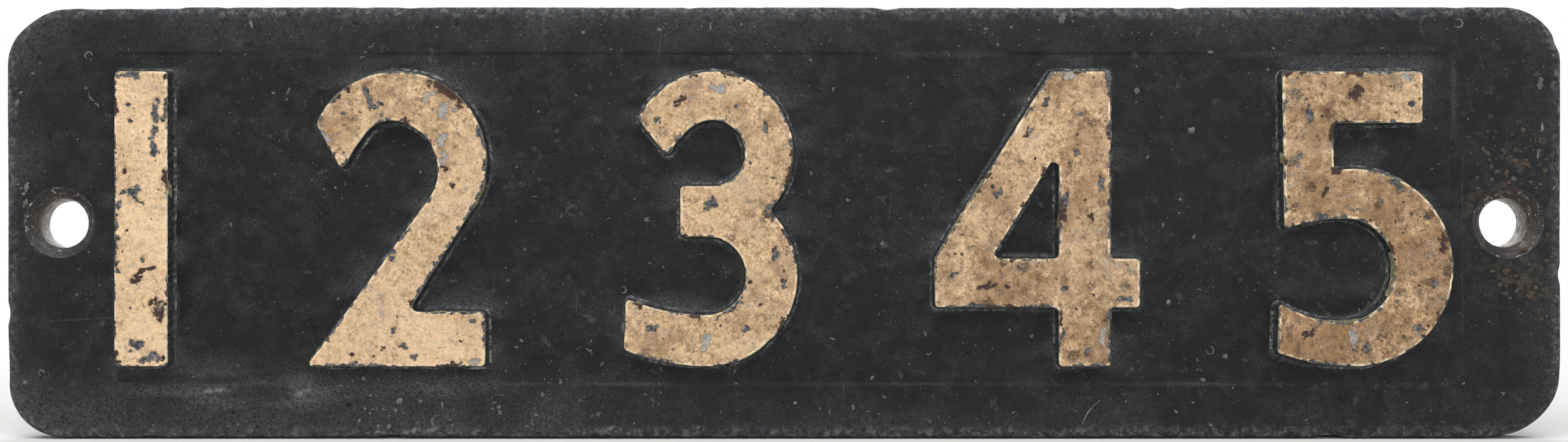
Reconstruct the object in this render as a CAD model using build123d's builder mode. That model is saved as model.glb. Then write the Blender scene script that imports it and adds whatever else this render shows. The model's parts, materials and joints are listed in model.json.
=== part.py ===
"""A cast-iron locomotive number plate: a rounded oblong plate with a sunk number panel, five
raised numerals and a bolt hole at each end.

The frame: X runs along the number as it is read, Z is up and the numerals face -Y. The origin
is on the plate's back face, midway between the two bolt holes. Sizes are in millimetres.
"""

from build123d import *
import os
from math import acos, atan2, cos, degrees, radians, sin, sqrt, tan

# The number, measured where the walls of the numerals meet their foot fillets
numeral_height = 113.0
numeral_gap = 51.4
side_stroke = 20.5
top_stroke = 19.4

# How far the numerals stand up, and how a pattern maker eases them out of the sand
numeral_relief = 5.0
numeral_draft = 8.0
foot_fillet = 1.2
face_rounding = 0.6
corner_ease = 0.3

# The sunk panel that the numerals stand on, and the border round it
panel_depth = 0.4
panel_corner_radius = 2.0
panel_end_margin = 0.6
panel_top_margin = 5.8
end_border = 41.5
top_border = 17.7
bottom_border = 20.3

# The plate
plate_thickness = 13.0
plate_corner_radius = 21.5
plate_side_draft = 3.0
front_edge_round = 3.0

# The bolt holes: a straight bore and a mouth worn open by washers and nuts
bolt_hole_diameter = 19.0
bolt_mouth_diameter = 27.3
bolt_mouth_angle = 100.0

# The numerals' own sizes
one_width = 21.1

two_width = 69.9
two_bowl_radius = 34.4
two_counter_radius = 18.6
two_foot_height = 21.7
two_foot_setback = 0.5
two_elbow_x = 40.4
two_tip_angle = 156.0
two_crown_angle = 80.0
two_cheek_reach = (-7.9, 14.0)
two_lip_reach = (-17.3, -1.2)

three_width = 66.9
three_upper_radius = 31.5
three_lower_radius = 34.9
three_upper_setback = 1.5
three_waist_start = 21.4
three_tip_angle = 156.0
three_crown_angle = 80.0
three_cheek_reach = (-8.4, 8.8)
three_lip_reach = (-16.9, -1.9)
three_tail_rise = 6.5
three_tail_lean = 0.7

four_width = 78.9
four_stem_x = 47.2
four_shoulder_x = 44.4
four_bar_base = 22.4
four_counter_x = 22.6

five_width = 67.9
five_bowl_radius = 38.0
five_counter_radius = 19.2
five_counter_drop = 1.0
five_bowl_stroke = 23.2
five_bar_length = 54.3
five_stem_setback = 1.8
five_stem_lean = 0.9
five_throat_height = 51.7
five_tail_rise = 5.3
five_tail_lean = 0.7

# How near two drawn edges have to meet, and at how many degrees they still run smoothly on
drawing_slack = 0.003
smooth_angle = 178.0

# What follows from them
wall_height = numeral_relief - face_rounding - foot_fillet
wall_inset = wall_height * tan(radians(numeral_draft))
numeral_corner_radius = max(foot_fillet, wall_inset + face_rounding) + corner_ease
numeral_widths = [one_width, two_width, three_width, four_width, five_width]
number_length = sum(numeral_widths) + numeral_gap * (len(numeral_widths) - 1)

panel_length = number_length + 2 * (foot_fillet + panel_end_margin)
panel_height = numeral_height + 2 * (foot_fillet + panel_top_margin)
plate_length = panel_length + 2 * end_border
plate_height = panel_height + top_border + bottom_border
panel_rise = (bottom_border - top_border) / 2
bolt_hole_reach = (panel_length + end_border) / 2

plate_front = Plane.XZ.offset(plate_thickness)
panel_face = Plane.XZ.offset(plate_thickness - panel_depth)


def on_circle(centre, radius, angle):
    """The point of a circle at an angle in degrees."""
    return centre + Vector(radius * cos(radians(angle)), radius * sin(radians(angle)))


def touch_angle(point, centre, radius):
    """The angle where a line from the point touches a circle, going round to its left."""
    reach = Vector(point) - centre
    return degrees(atan2(reach.Y, reach.X)) + degrees(acos(radius / reach.length))


def outline_one():
    with BuildSketch() as outline:
        with Locations((one_width / 2, numeral_height / 2)):
            Rectangle(one_width, numeral_height)
    return outline.sketch


def outline_two():
    bowl = Vector(two_width - two_bowl_radius, numeral_height - two_bowl_radius)
    counter = Vector(two_width, numeral_height) - Vector(1, 1) * (top_stroke + two_counter_radius)
    elbow = Vector(two_elbow_x, two_foot_height)
    heel = Vector(0, 0)
    cheek = counter + Vector(*two_cheek_reach)
    lip = counter + Vector(*two_lip_reach)
    back_angle = touch_angle(elbow, bowl, two_bowl_radius)
    front_angle = touch_angle(heel, counter, two_counter_radius)
    toe_x = two_width - two_foot_setback
    with BuildSketch() as outline:
        with BuildLine():
            over = CenterArc(bowl, two_bowl_radius, two_tip_angle, back_angle - two_tip_angle)
            Polyline(over @ 1, elbow, (toe_x, two_foot_height), (toe_x, 0), heel,
                     on_circle(counter, two_counter_radius, front_angle))
            under = CenterArc(counter, two_counter_radius, front_angle, two_crown_angle - front_angle)
            crown = TangentArc(under @ 1, cheek, tangent=under % 1)
            TangentArc(cheek, lip, tangent=crown % 1)
            Line(lip, over @ 0)
        make_face()
    return outline.sketch


def outline_three():
    upper_counter_radius = three_upper_radius - top_stroke
    lower_counter_radius = three_lower_radius - side_stroke
    upper = Vector(three_width - three_upper_setback - three_upper_radius,
                   numeral_height - three_upper_radius)
    lower = Vector(three_width - three_lower_radius, three_lower_radius)
    cheek = upper + Vector(*three_cheek_reach)
    lip = upper + Vector(*three_lip_reach)
    # The two bowls cross at a notch on the right
    between = upper - lower
    lean = degrees(atan2(between.Y, between.X))
    along = (between.length**2 + three_lower_radius**2 - three_upper_radius**2) / (2 * between.length)
    notch_below = lean - degrees(acos(along / three_lower_radius))
    notch_above = lean - 180 + degrees(acos((between.length - along) / three_upper_radius))
    tail_foot = Vector(0, three_tail_rise)
    tail_top = Vector(three_tail_lean, three_tail_rise + side_stroke)
    with BuildSketch() as outline:
        with BuildLine():
            top = CenterArc(upper, three_upper_radius, three_tip_angle, notch_above - three_tip_angle)
            bottom = CenterArc(lower, three_lower_radius, notch_below, -90 - notch_below)
            TangentArc(bottom @ 1, tail_foot, tangent=(-1, 0))
            Line(tail_foot, tail_top)
            TangentArc(on_circle(lower, lower_counter_radius, -90), tail_top, tangent=(-1, 0))
            CenterArc(lower, lower_counter_radius, -90, 180)
            Polyline(on_circle(lower, lower_counter_radius, 90),
                     (three_waist_start, lower.Y + lower_counter_radius),
                     (three_waist_start, upper.Y - upper_counter_radius),
                     on_circle(upper, upper_counter_radius, -90))
            under = CenterArc(upper, upper_counter_radius, -90, three_crown_angle + 90)
            crown = TangentArc(under @ 1, cheek, tangent=under % 1)
            TangentArc(cheek, lip, tangent=crown % 1)
            Line(lip, top @ 0)
        make_face()
    return outline.sketch


def outline_four():
    stem_right = four_stem_x + side_stroke
    bar_top = four_bar_base + top_stroke
    slope = (numeral_height - bar_top) / four_shoulder_x
    counter_top = bar_top + (four_stem_x - four_counter_x) * slope
    with BuildSketch() as outline:
        with BuildLine():
            Polyline((0, bar_top), (four_shoulder_x, numeral_height), (stem_right, numeral_height),
                     (stem_right, bar_top), (four_width, bar_top), (four_width, four_bar_base),
                     (stem_right, four_bar_base), (stem_right, 0), (four_stem_x, 0),
                     (four_stem_x, four_bar_base), (0, four_bar_base), close=True)
        make_face()
        with BuildLine():
            Polyline((four_counter_x, bar_top), (four_stem_x, bar_top),
                     (four_stem_x, counter_top), close=True)
        make_face(mode=Mode.SUBTRACT)
    return outline.sketch


def outline_five():
    bowl = Vector(five_width - five_bowl_radius, five_bowl_radius)
    counter = Vector(five_width - five_bowl_stroke - five_counter_radius,
                     five_bowl_radius - five_counter_drop)
    stem_left = five_stem_setback
    stem_right = stem_left + side_stroke
    bar_base = numeral_height - side_stroke
    # The stem's right side runs down onto the bowl
    drop = sqrt(five_bowl_radius**2 - (bowl.X - stem_right)**2)
    bowl_angle = degrees(atan2(drop, stem_right - bowl.X))
    tail_foot = Vector(0, five_tail_rise)
    tail_top = Vector(five_tail_lean, five_tail_rise + side_stroke)
    throat = Vector(stem_left + five_stem_lean, five_throat_height)
    with BuildSketch() as outline:
        with BuildLine():
            round_bowl = CenterArc(bowl, five_bowl_radius, bowl_angle, -90 - bowl_angle)
            TangentArc(round_bowl @ 1, tail_foot, tangent=(-1, 0))
            Line(tail_foot, tail_top)
            TangentArc(on_circle(counter, five_counter_radius, -90), tail_top, tangent=(-1, 0))
            CenterArc(counter, five_counter_radius, -90, 180)
            TangentArc(on_circle(counter, five_counter_radius, 90), throat, tangent=(-1, 0))
            Polyline(throat, (stem_left, numeral_height),
                     (stem_left + five_bar_length, numeral_height),
                     (stem_left + five_bar_length, bar_base), (stem_right, bar_base),
                     round_bowl @ 0)
        make_face()
    return outline.sketch


def is_corner(vertex, edges):
    """True where two edges of an outline meet at an angle and don't run smoothly on."""
    ways = []
    for edge in edges:
        if (edge @ 0 - Vector(vertex)).length < drawing_slack:
            ways.append(edge % 0)
        elif (edge @ 1 - Vector(vertex)).length < drawing_slack:
            ways.append((edge % 1) * -1)
    return ways[0].get_angle(ways[1]) < smooth_angle


def cast_numeral(label, outline, left):
    """A raised numeral: a fillet at the foot, a drafted wall and a rounded edge at its face."""
    foot = Plane(origin=(left, panel_face.origin.Y, panel_rise - numeral_height / 2),
                 x_dir=(1, 0, 0), z_dir=panel_face.z_dir)
    half = 1 - cos(radians(45))
    shoulder = numeral_relief - face_rounding
    # Each pair is a height above the panel and how far the wall stands out of the outline there
    wall = [
        (0, foot_fillet),
        (half * foot_fillet, half * foot_fillet),
        (foot_fillet, 0),
        (shoulder, -wall_inset),
        (numeral_relief - half * face_rounding, -wall_inset - half * face_rounding),
        (numeral_relief, -wall_inset - face_rounding),
    ]
    with BuildPart() as numeral:
        for height, spread in wall:
            with BuildSketch(foot.offset(height)) as section:
                add(outline)
                corners = [v for v in section.vertices() if is_corner(v, outline.edges())]
                fillet(corners, radius=numeral_corner_radius)
                if spread:
                    offset(amount=spread, kind=Kind.ARC)
        loft(ruled=True)
    numeral.part.label = label
    export_step(numeral.part, f"parts/{label}.step")


os.makedirs("parts", exist_ok=True)

# The plate: drafted sides, a worn round along the front edge, the sunk panel and two holes
with BuildPart() as plate:
    with BuildSketch(Plane.XZ):
        RectangleRounded(plate_length, plate_height, plate_corner_radius)
    extrude(amount=plate_thickness)
    sides = plate.faces().filter_by(Axis.Y, reverse=True)
    draft(sides, plate_front, plate_side_draft)
    fillet(plate.faces().sort_by(Axis.Y)[0].edges(), radius=front_edge_round)
    with BuildSketch(plate_front):
        with Locations((0, panel_rise)):
            RectangleRounded(panel_length, panel_height, panel_corner_radius)
    extrude(amount=-panel_depth, mode=Mode.SUBTRACT)
    with Locations(plate_front):
        with Locations((-bolt_hole_reach, 0), (bolt_hole_reach, 0)):
            CounterSinkHole(radius=bolt_hole_diameter / 2,
                            counter_sink_radius=bolt_mouth_diameter / 2,
                            counter_sink_angle=bolt_mouth_angle)
plate.part.label = "plate"
export_step(plate.part, "parts/plate.step")

# The number, read from left to right with an even gap between the numerals
numeral_left = -number_length / 2
for name, draw, width in (
    ("numeral_one", outline_one, one_width),
    ("numeral_two", outline_two, two_width),
    ("numeral_three", outline_three, three_width),
    ("numeral_four", outline_four, four_width),
    ("numeral_five", outline_five, five_width),
):
    cast_numeral(name, draw(), numeral_left)
    numeral_left += width + numeral_gap
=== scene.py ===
"""A weathered cast-iron locomotive number plate: the worn plate, its five painted numerals and
what time has left on them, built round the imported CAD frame.

The file is laid out as an add-on and is run as a script. Lengths in the settings are in metres;
the shaping code works in millimetres and turns them into metres when a mesh is made.
"""

import itertools
import json
import math

import bmesh
import bpy
import numpy as np
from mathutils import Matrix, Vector, kdtree
from mathutils.geometry import delaunay_2d_cdt


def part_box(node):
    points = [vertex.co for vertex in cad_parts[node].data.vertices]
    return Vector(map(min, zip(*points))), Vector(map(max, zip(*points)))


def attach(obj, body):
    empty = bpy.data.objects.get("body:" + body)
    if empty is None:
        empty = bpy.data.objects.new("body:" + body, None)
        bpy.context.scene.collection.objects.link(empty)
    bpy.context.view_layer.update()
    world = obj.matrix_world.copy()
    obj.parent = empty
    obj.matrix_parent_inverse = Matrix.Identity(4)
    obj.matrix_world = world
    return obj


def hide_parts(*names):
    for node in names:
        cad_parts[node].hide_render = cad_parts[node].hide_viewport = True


bl_info = {
    "name": "Locomotive number plate",
    "version": (1, 0, 0),
    "blender": (4, 5, 0),
    "location": "View3D > Sidebar > Number plate",
    "description": "Builds a worn cast-iron number plate with painted numerals",
    "category": "Object",
}

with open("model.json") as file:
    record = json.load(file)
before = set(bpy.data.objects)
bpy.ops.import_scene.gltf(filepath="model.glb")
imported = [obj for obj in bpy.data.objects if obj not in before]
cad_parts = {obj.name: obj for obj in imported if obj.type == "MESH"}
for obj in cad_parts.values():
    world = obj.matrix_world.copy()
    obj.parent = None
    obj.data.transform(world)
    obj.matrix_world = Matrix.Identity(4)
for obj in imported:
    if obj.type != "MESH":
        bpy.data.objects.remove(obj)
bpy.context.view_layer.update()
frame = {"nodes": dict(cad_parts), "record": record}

MM = 0.001
NUMERALS = ["numeral_one", "numeral_two", "numeral_three", "numeral_four", "numeral_five"]

# Places that the CAD nodes give, in millimetres
PLATE_LOW, PLATE_HIGH = (np.array(corner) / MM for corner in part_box("plate"))
NUMERAL_LOW, NUMERAL_HIGH = (np.array(corner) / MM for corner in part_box("numeral_one"))
FRONT_Y = PLATE_LOW[1]
PANEL_Y = NUMERAL_HIGH[1]
FACE_Y = NUMERAL_LOW[1]
RELIEF = PANEL_Y - FACE_Y


def bolt_pattern():
    """The hole spacing and the hole radius, in millimetres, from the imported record."""
    for mount in frame["record"]["mounts"]:
        if mount["kind"] == "bolt_pattern":
            return mount["dims"]["spacing_x_mm"], mount["dims"]["hole_r_mm"]
    raise RuntimeError("the packed record has no bolt pattern")


HOLE_SPACING, HOLE_RADIUS = bolt_pattern()
HOLES = (np.array([-HOLE_SPACING / 2, 0.0]), np.array([HOLE_SPACING / 2, 0.0]))


def panel_box():
    """The lowest and highest x and z of the sunk panel, in millimetres, from the CAD plate."""
    places = np.array([v.co for v in frame["nodes"]["plate"].data.vertices]) / MM
    sunk = places[np.abs(places[:, 1] - PANEL_Y) < 0.001]
    return sunk[:, [0, 2]].min(0), sunk[:, [0, 2]].max(0)


PANEL_LOW, PANEL_HIGH = panel_box()


def linear(code):
    """An sRGB hex colour as the linear RGBA that a node takes."""
    parts = [int(code[i : i + 2], 16) / 255 for i in (1, 3, 5)]
    return tuple(c / 12.92 if c <= 0.04045 else ((c + 0.055) / 1.055) ** 2.4 for c in parts) + (1.0,)


def colour_setting(name, description, code):
    """A colour property with its default as an sRGB hex value."""
    return bpy.props.FloatVectorProperty(
        name=name, description=description, subtype="COLOR", size=4, min=0.0, max=1.0, default=linear(code)
    )


def length_setting(name, description, millimetres):
    """A length property, shown in the scene's unit."""
    return bpy.props.FloatProperty(
        name=name, description=description, unit="LENGTH", min=0.0, default=millimetres * MM
    )


class PlateSettings(bpy.types.PropertyGroup):
    """Sizes of the cast plate's wear."""

    point_spacing: length_setting("Point spacing", "Distance between the points of the front", 1.2)
    back_spacing: length_setting("Back point spacing", "Distance between the points of the back", 3.6)
    corner_radius: length_setting("Corner radius", "Radius of the outline's corners at the back", 22.2)
    edge_round: length_setting("Edge round", "Round that years of handling gave the front edge", 3.0)
    side_draft: length_setting("Side draft", "How much the outline shrinks from back to front", 0.68)
    outline_wander: length_setting("Outline wander", "How far the outline strays from true", 0.55)
    casting_wave: length_setting("Casting wave", "Height of the slow waves of the cast front", 0.16)
    sand_grain: length_setting("Sand grain", "Height of the grain that the sand mould left", 0.07)
    mouth_radius: length_setting("Mouth radius", "Radius of the worn mouth of a bolt hole", 13.3)
    mouth_depth: length_setting("Mouth depth", "Depth at which the mouth meets the bore", 3.5)


class NumeralSettings(bpy.types.PropertyGroup):
    """Sizes of the raised numerals and their paint."""

    point_spacing: length_setting("Point spacing", "Distance between the points of a face", 0.62)
    foot_fillet: length_setting("Foot fillet", "Fillet where a wall meets the panel", 1.2)
    face_round: length_setting("Face round", "Round between a wall and the face", 0.6)
    wall_inset: length_setting("Wall inset", "How far a wall leans in between fillet and round", 0.45)
    paint_thickness: length_setting("Paint thickness", "Depth of a chip in the old paint", 0.16)
    nick_depth: length_setting("Nick depth", "Deepest nick in a face's edge", 0.5)


class Colours(bpy.types.PropertyGroup):
    """Colours of paint, dust, rust and iron."""

    black_cool: colour_setting("Cool black", "Black paint where it is least worn", "#151719")
    black_warm: colour_setting("Warm black", "Black paint under old oil", "#161514")
    dust: colour_setting("Dust", "Grey dust that lies round the numerals", "#686B6C")
    worn_edge: colour_setting("Worn edge", "Blue-grey of paint rubbed thin", "#4A4E55")
    fleck: colour_setting("Fleck", "Grey-green flecks of an older paint", "#6C6E68")
    rust: colour_setting("Rust", "Brown rust round the right-hand hole", "#574537")
    cream: colour_setting("Cream", "Cleanest cream paint", "#F5D3AA")
    cream_grain: colour_setting("Cream grain", "Cream in the hollows of its grain", "#A47D57")
    stain: colour_setting("Stain", "Brown clouds on the cream", "#6E563E")
    undercoat: colour_setting("Undercoat", "Blue-grey to black under the cream", "#2E2E31")
    maroon: colour_setting("Maroon", "Red-brown iron in the larger chips", "#3D2A24")
    primer: colour_setting("Primer", "Pale primer that shows in places", "#AEA69C")
    bare_iron: colour_setting("Bare iron", "Grey-brown iron of the hole walls", "#5E5249")
    floor: colour_setting("Floor", "Pale floor", "#F5F4F2")


class StageSettings(bpy.types.PropertyGroup):
    """Camera and lamps."""

    camera_distance: length_setting("Camera distance", "From the lens to the plate's front", 545.0)
    camera_height: length_setting("Camera height", "Height of the lens over the plate's middle", 0.5)
    view_width: length_setting("View width", "Width that the picture takes in at the front", 601.0)
    key_power: bpy.props.FloatProperty(
        name="Key power", description="Power of the softbox overhead", unit="POWER", min=0.0, default=13.6
    )
    fill_power: bpy.props.FloatProperty(
        name="Fill power", description="Power of the softbox in front", unit="POWER", min=0.0, default=5.6
    )
    back_power: bpy.props.FloatProperty(
        name="Back power", description="Power of the softbox behind", unit="POWER", min=0.0, default=12.0
    )
    sky: bpy.props.FloatProperty(
        name="Sky", description="Strength of the light from all round", min=0.0, max=1.0, default=0.33
    )


def hashed(cells, seed):
    """A repeatable number from -1 to 1 for each whole-number cell."""
    mixed = cells[:, 0] * 73856093 ^ cells[:, 1] * 19349663 ^ cells[:, 2] * 83492791 ^ (seed + 1) * 49979687
    mixed = ((mixed ^ (mixed >> 13)) * 1274126177) & 0xFFFFFFFF
    mixed = ((mixed ^ (mixed >> 15)) * 668265263) & 0xFFFFFFFF
    return (mixed >> 8) / float(0x7FFFFF) - 1.0


def noise(points, size, seed, layers=1):
    """Smooth noise of about that size, from -1 to 1, each layer half as large and half as strong."""
    total = np.zeros(len(points))
    for layer in range(layers):
        scaled = points * 2**layer / size + 0.37 * layer
        cells = np.floor(scaled).astype(np.int64)
        part = scaled - cells
        part = part * part * (3 - 2 * part)
        for corner in itertools.product((0, 1), repeat=3):
            share = np.prod(np.where(corner, part, 1 - part), axis=1)
            total += share * hashed(cells + corner, seed + 31 * layer) / 2**layer
    return total


def flat_noise(places, size, seed, layers=1):
    """The same noise over x and z alone."""
    return noise(np.column_stack([places[:, 0], np.zeros(len(places)), places[:, 1]]), size, seed, layers)


def smooth_step(values, low, high):
    """0 below low, 1 above high and a smooth rise between."""
    part = np.clip((values - low) / (high - low), 0, 1)
    return part * part * (3 - 2 * part)


def rounded_rectangle(half, radius):
    """The outline of a rounded rectangle round the origin, anticlockwise."""
    arc = np.linspace(0, math.pi / 2, 24)
    loop = []
    for quarter, (side_x, side_z) in enumerate(((1, 1), (-1, 1), (-1, -1), (1, -1))):
        turn = arc + quarter * math.pi / 2
        centre = np.array([side_x * (half[0] - radius), side_z * (half[1] - radius)])
        loop.append(centre + radius * np.column_stack([np.cos(turn), np.sin(turn)]))
    return np.vstack(loop)


def even_points(loop, spacing, smoothings=0):
    """The same closed outline with evenly spaced points, its corners eased by the smoothings."""
    closed = np.vstack([loop, loop[:1]])
    run = np.concatenate([[0], np.cumsum(np.linalg.norm(np.diff(closed, axis=0), axis=1))])
    wanted = np.arange(round(run[-1] / spacing)) * run[-1] / round(run[-1] / spacing)
    even = np.column_stack([np.interp(wanted, run, closed[:, axis]) for axis in (0, 1)])
    for _ in range(smoothings):
        even = (np.roll(even, 1, axis=0) + 2 * even + np.roll(even, -1, axis=0)) / 4
    return even


def outward_of(loop):
    """The outward direction at each point of an outline whose solid lies on its left."""
    along = np.roll(loop, -1, axis=0) - np.roll(loop, 1, axis=0)
    along /= np.linalg.norm(along, axis=1)[:, None]
    return np.column_stack([along[:, 1], -along[:, 0]])


def rectangle_distance(places, middle, half, radius):
    """How far each place lies outside a rounded rectangle, negative inside it."""
    reach = np.abs(places - middle) - (np.array(half) - radius)
    outside = np.linalg.norm(np.maximum(reach, 0), axis=1)
    return outside + np.minimum(reach.max(axis=1), 0) - radius


def nearest(places, loops):
    """For each place, its distance outside the nearest outline (negative inside) and that point's number."""
    points = np.vstack(loops)
    outward = np.vstack([outward_of(loop) for loop in loops])
    tree = kdtree.KDTree(len(points))
    for number, (x, z) in enumerate(points):
        tree.insert((x, z, 0), number)
    tree.balance()
    found = np.array([tree.find((x, z, 0))[1] for x, z in places], dtype=int)
    gap = places - points[found]
    across = np.einsum("ij,ij->i", gap, outward[found])
    return np.where(across < 0, -1, 1) * np.linalg.norm(gap, axis=1), found


def inside(places, loops):
    """True for each place that lies within the outlines, by counting crossings."""
    crossings = np.zeros(len(places), dtype=int)
    for loop in loops:
        start, end = loop, np.roll(loop, -1, axis=0)
        for (x, z), (next_x, next_z) in zip(start, end):
            spans = (places[:, 1] < z) != (places[:, 1] < next_z)
            if spans.any():
                crossing = x + (places[spans, 1] - z) / (next_z - z) * (next_x - x)
                crossings[spans] += places[spans, 0] < crossing
    return crossings % 2 == 1


def even_grid(low, high, spacing, seed):
    """Places in staggered rows over a box, each a little off its mark."""
    row_gap = spacing * math.sqrt(3) / 2
    rows = np.arange(low[1], high[1] + row_gap, row_gap)
    columns = np.arange(low[0] - spacing, high[0] + spacing, spacing)
    x, z = np.meshgrid(columns, rows)
    x = x + (np.arange(len(rows)) % 2)[:, None] * spacing / 2
    places = np.column_stack([x.ravel(), z.ravel()])
    chance = np.random.default_rng(seed)
    return places + chance.uniform(-0.14, 0.14, places.shape) * spacing


class Shell:
    """The points and faces of one closed piece, in millimetres, before they become a mesh."""

    def __init__(self):
        self.points = np.empty((0, 3))
        self.faces = []
        self.finishes = []

    def add(self, points):
        """Add points and return their numbers."""
        first = len(self.points)
        self.points = np.vstack([self.points, points])
        return np.arange(first, len(self.points))

    def band(self, lower, upper, finish=0):
        """Join two closed rings that have the same number of points."""
        quads = np.column_stack([lower, np.roll(lower, -1), np.roll(upper, -1), upper])
        self.faces.extend(quads.tolist())
        self.finishes.extend([finish] * len(quads))

    def cap(self, rings, surface, inner, lines=(), finish=0):
        """Fill between closed rings, through the inner places and along the lines, on a surface."""
        borders = [self.points[ring][:, [0, 2]] for ring in rings]
        places, edges, numbers = [], [], np.concatenate(rings)
        for border in borders:
            first = len(places)
            places.extend(border)
            edges.extend((first + i, first + (i + 1) % len(border)) for i in range(len(border)))
        places.extend(inner)
        for line in lines:
            first = len(places)
            places.extend(line)
            edges.extend((first + i, first + i + 1) for i in range(len(line) - 1))
        found, _, triangles, sources, _, _ = delaunay_2d_cdt([Vector(p) for p in places], edges, [], 0, 1e-5)
        found = np.array([(p.x, p.y) for p in found])
        number_of = np.full(len(found), -1)
        for new, olds in enumerate(sources):
            on_border = [old for old in olds if old < len(numbers)]
            if on_border:
                number_of[new] = numbers[on_border[0]]
        free = number_of < 0
        flat = found[free]
        number_of[free] = self.add(np.column_stack([flat[:, 0], surface(flat), flat[:, 1]]))
        triangles = np.array(triangles)
        # Only a triangle with all its corners on the borders can lie outside them
        doubtful = np.where(~free[triangles].any(axis=1))[0]
        kept = np.ones(len(triangles), dtype=bool)
        kept[doubtful] = inside(found[triangles[doubtful]].mean(axis=1), borders)
        self.faces.extend(number_of[triangles[kept]].tolist())
        self.finishes.extend([finish] * int(kept.sum()))

    def piece(self, name, materials, **values):
        """The finished object at the origin, with one attribute for each set of values."""
        mesh = bpy.data.meshes.new(name)
        mesh.from_pydata((self.points * MM).tolist(), [], self.faces)
        for material in materials:
            mesh.materials.append(material)
        mesh.polygons.foreach_set("material_index", self.finishes)
        for title, numbers in values.items():
            attribute = mesh.attributes.new(title, "FLOAT", "POINT")
            attribute.data.foreach_set("value", np.asarray(numbers, dtype=np.float32))
        solid = bmesh.new()
        solid.from_mesh(mesh)
        bmesh.ops.recalc_face_normals(solid, faces=solid.faces)
        solid.to_mesh(mesh)
        solid.free()
        mesh.polygons.foreach_set("use_smooth", [True] * len(mesh.polygons))
        mesh.update()
        obj = bpy.data.objects.new(name, mesh)
        bpy.context.scene.collection.objects.link(obj)
        return obj


def face_loops(node):
    """The outlines of a numeral's flat face, in millimetres, from its CAD mesh."""
    copy = bmesh.new()
    copy.from_mesh(frame["nodes"][node].data)
    bmesh.ops.remove_doubles(copy, verts=copy.verts, dist=1e-6)
    front = {v for v in copy.verts if abs(v.co.y / MM - FACE_Y) < 0.001}
    follows = {}
    for edge in copy.edges:
        flat = [f for f in edge.link_faces if all(v in front for v in f.verts)]
        if len(flat) == 1:
            for a, b in edge.verts, reversed(edge.verts):
                follows.setdefault(a, []).append(b)
    loops = []
    while follows:
        start = here = next(iter(follows))
        loop = [start]
        while True:
            onward = [v for v in follows.pop(here) if v in follows]
            if not onward:
                break
            here = onward[0]
            loop.append(here)
        loops.append(np.array([(v.co.x / MM, v.co.z / MM) for v in loop]))
    copy.free()
    # The largest outline runs anticlockwise and its holes clockwise, so that outward_of points away
    areas = [signed_area(loop) for loop in loops]
    outer = max(range(len(loops)), key=lambda i: abs(areas[i]))
    return [loop if (areas[i] > 0) == (i == outer) else loop[::-1] for i, loop in enumerate(loops)]


def signed_area(loop):
    """The area of an outline, positive where it runs anticlockwise."""
    after = np.roll(loop, -1, axis=0)
    return float(np.sum(loop[:, 0] * after[:, 1] - after[:, 0] * loop[:, 1]) / 2)


def foot_outlines(spacing=1.5, spread=2.25):
    """The outlines of all the numerals where their fillets meet the panel."""
    outlines = []
    for node in NUMERALS:
        for loop in face_loops(node):
            even = even_points(loop, spacing / 2, 2)
            outlines.append(even_points(even + outward_of(even) * spread, spacing))
    return outlines


def add_node(tree, kind, inputs=None, output=None, **settings):
    """Add a node with its settings and links, and return the output named or its first live one."""
    node = tree.nodes.new(kind)
    for setting, value in settings.items():
        setattr(node, setting, value)
    for key, value in (inputs or {}).items():
        if isinstance(value, bpy.types.NodeSocket):
            tree.links.new(value, node.inputs[key])
        else:
            node.inputs[key].default_value = value
    if output is not None:
        return node.outputs[output]
    return next((socket for socket in node.outputs if socket.enabled), None)


def per_metre(millimetres):
    """The scale of a pattern whose features are that many millimetres apart."""
    return 1 / (millimetres * MM)


def start_material(name):
    """A new material, its node tree without nodes, and the Object coordinates."""
    material = bpy.data.materials.new(name)
    material.use_nodes = True
    material.node_tree.nodes.clear()
    place = add_node(material.node_tree, "ShaderNodeTexCoord", output="Object")
    return material, material.node_tree, place


def finish_material(tree, colour, roughness, height, depth, **settings):
    """Join colour, roughness and a bump of that depth in millimetres to the shader."""
    normal = add_node(tree, "ShaderNodeBump", {"Height": height, "Strength": 1.0, "Distance": depth * MM})
    shader = add_node(
        tree, "ShaderNodeBsdfPrincipled", {"Base Color": colour, "Roughness": roughness, "Normal": normal}
    )
    for socket, value in settings.items():
        shader.node.inputs[socket.replace("_", " ")].default_value = value
    add_node(tree, "ShaderNodeOutputMaterial", {"Surface": shader})


def spots(tree, place, apart, radius, share, soft=0.05):
    """1 within spots of up to that radius, in that share of cells that far apart, their rims that soft."""
    cells = add_node(tree, "ShaderNodeTexVoronoi", {"Vector": place, "Scale": per_metre(apart)}).node
    chance = add_node(tree, "ShaderNodeSeparateColor", {"Color": cells.outputs["Color"]}, "Red")
    reach = add_node(
        tree,
        "ShaderNodeMapRange",
        {"Value": chance, "From Min": 1 - share, "From Max": 1.0, "To Min": 0.0, "To Max": radius / apart},
    )
    gap = add_node(tree, "ShaderNodeMath", {0: reach, 1: cells.outputs["Distance"]}, operation="SUBTRACT")
    return add_node(tree, "ShaderNodeMapRange", {"Value": gap, "From Min": 0.0, "From Max": soft / apart})


def shaken(tree, place, size, reach):
    """The same place pushed about, so that round spots and straight lines turn ragged."""
    push = add_node(
        tree,
        "ShaderNodeTexNoise",
        {"Vector": place, "Scale": per_metre(size), "Detail": 3.0, "Roughness": 0.6},
        "Color",
    )
    centred = add_node(tree, "ShaderNodeVectorMath", {0: push, 1: (0.5, 0.5, 0.5)}, operation="SUBTRACT")
    scaled = add_node(
        tree, "ShaderNodeVectorMath", {0: centred, "Scale": 2 * reach * MM}, operation="SCALE"
    )
    return add_node(tree, "ShaderNodeVectorMath", {0: place, 1: scaled}, operation="ADD")


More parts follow.
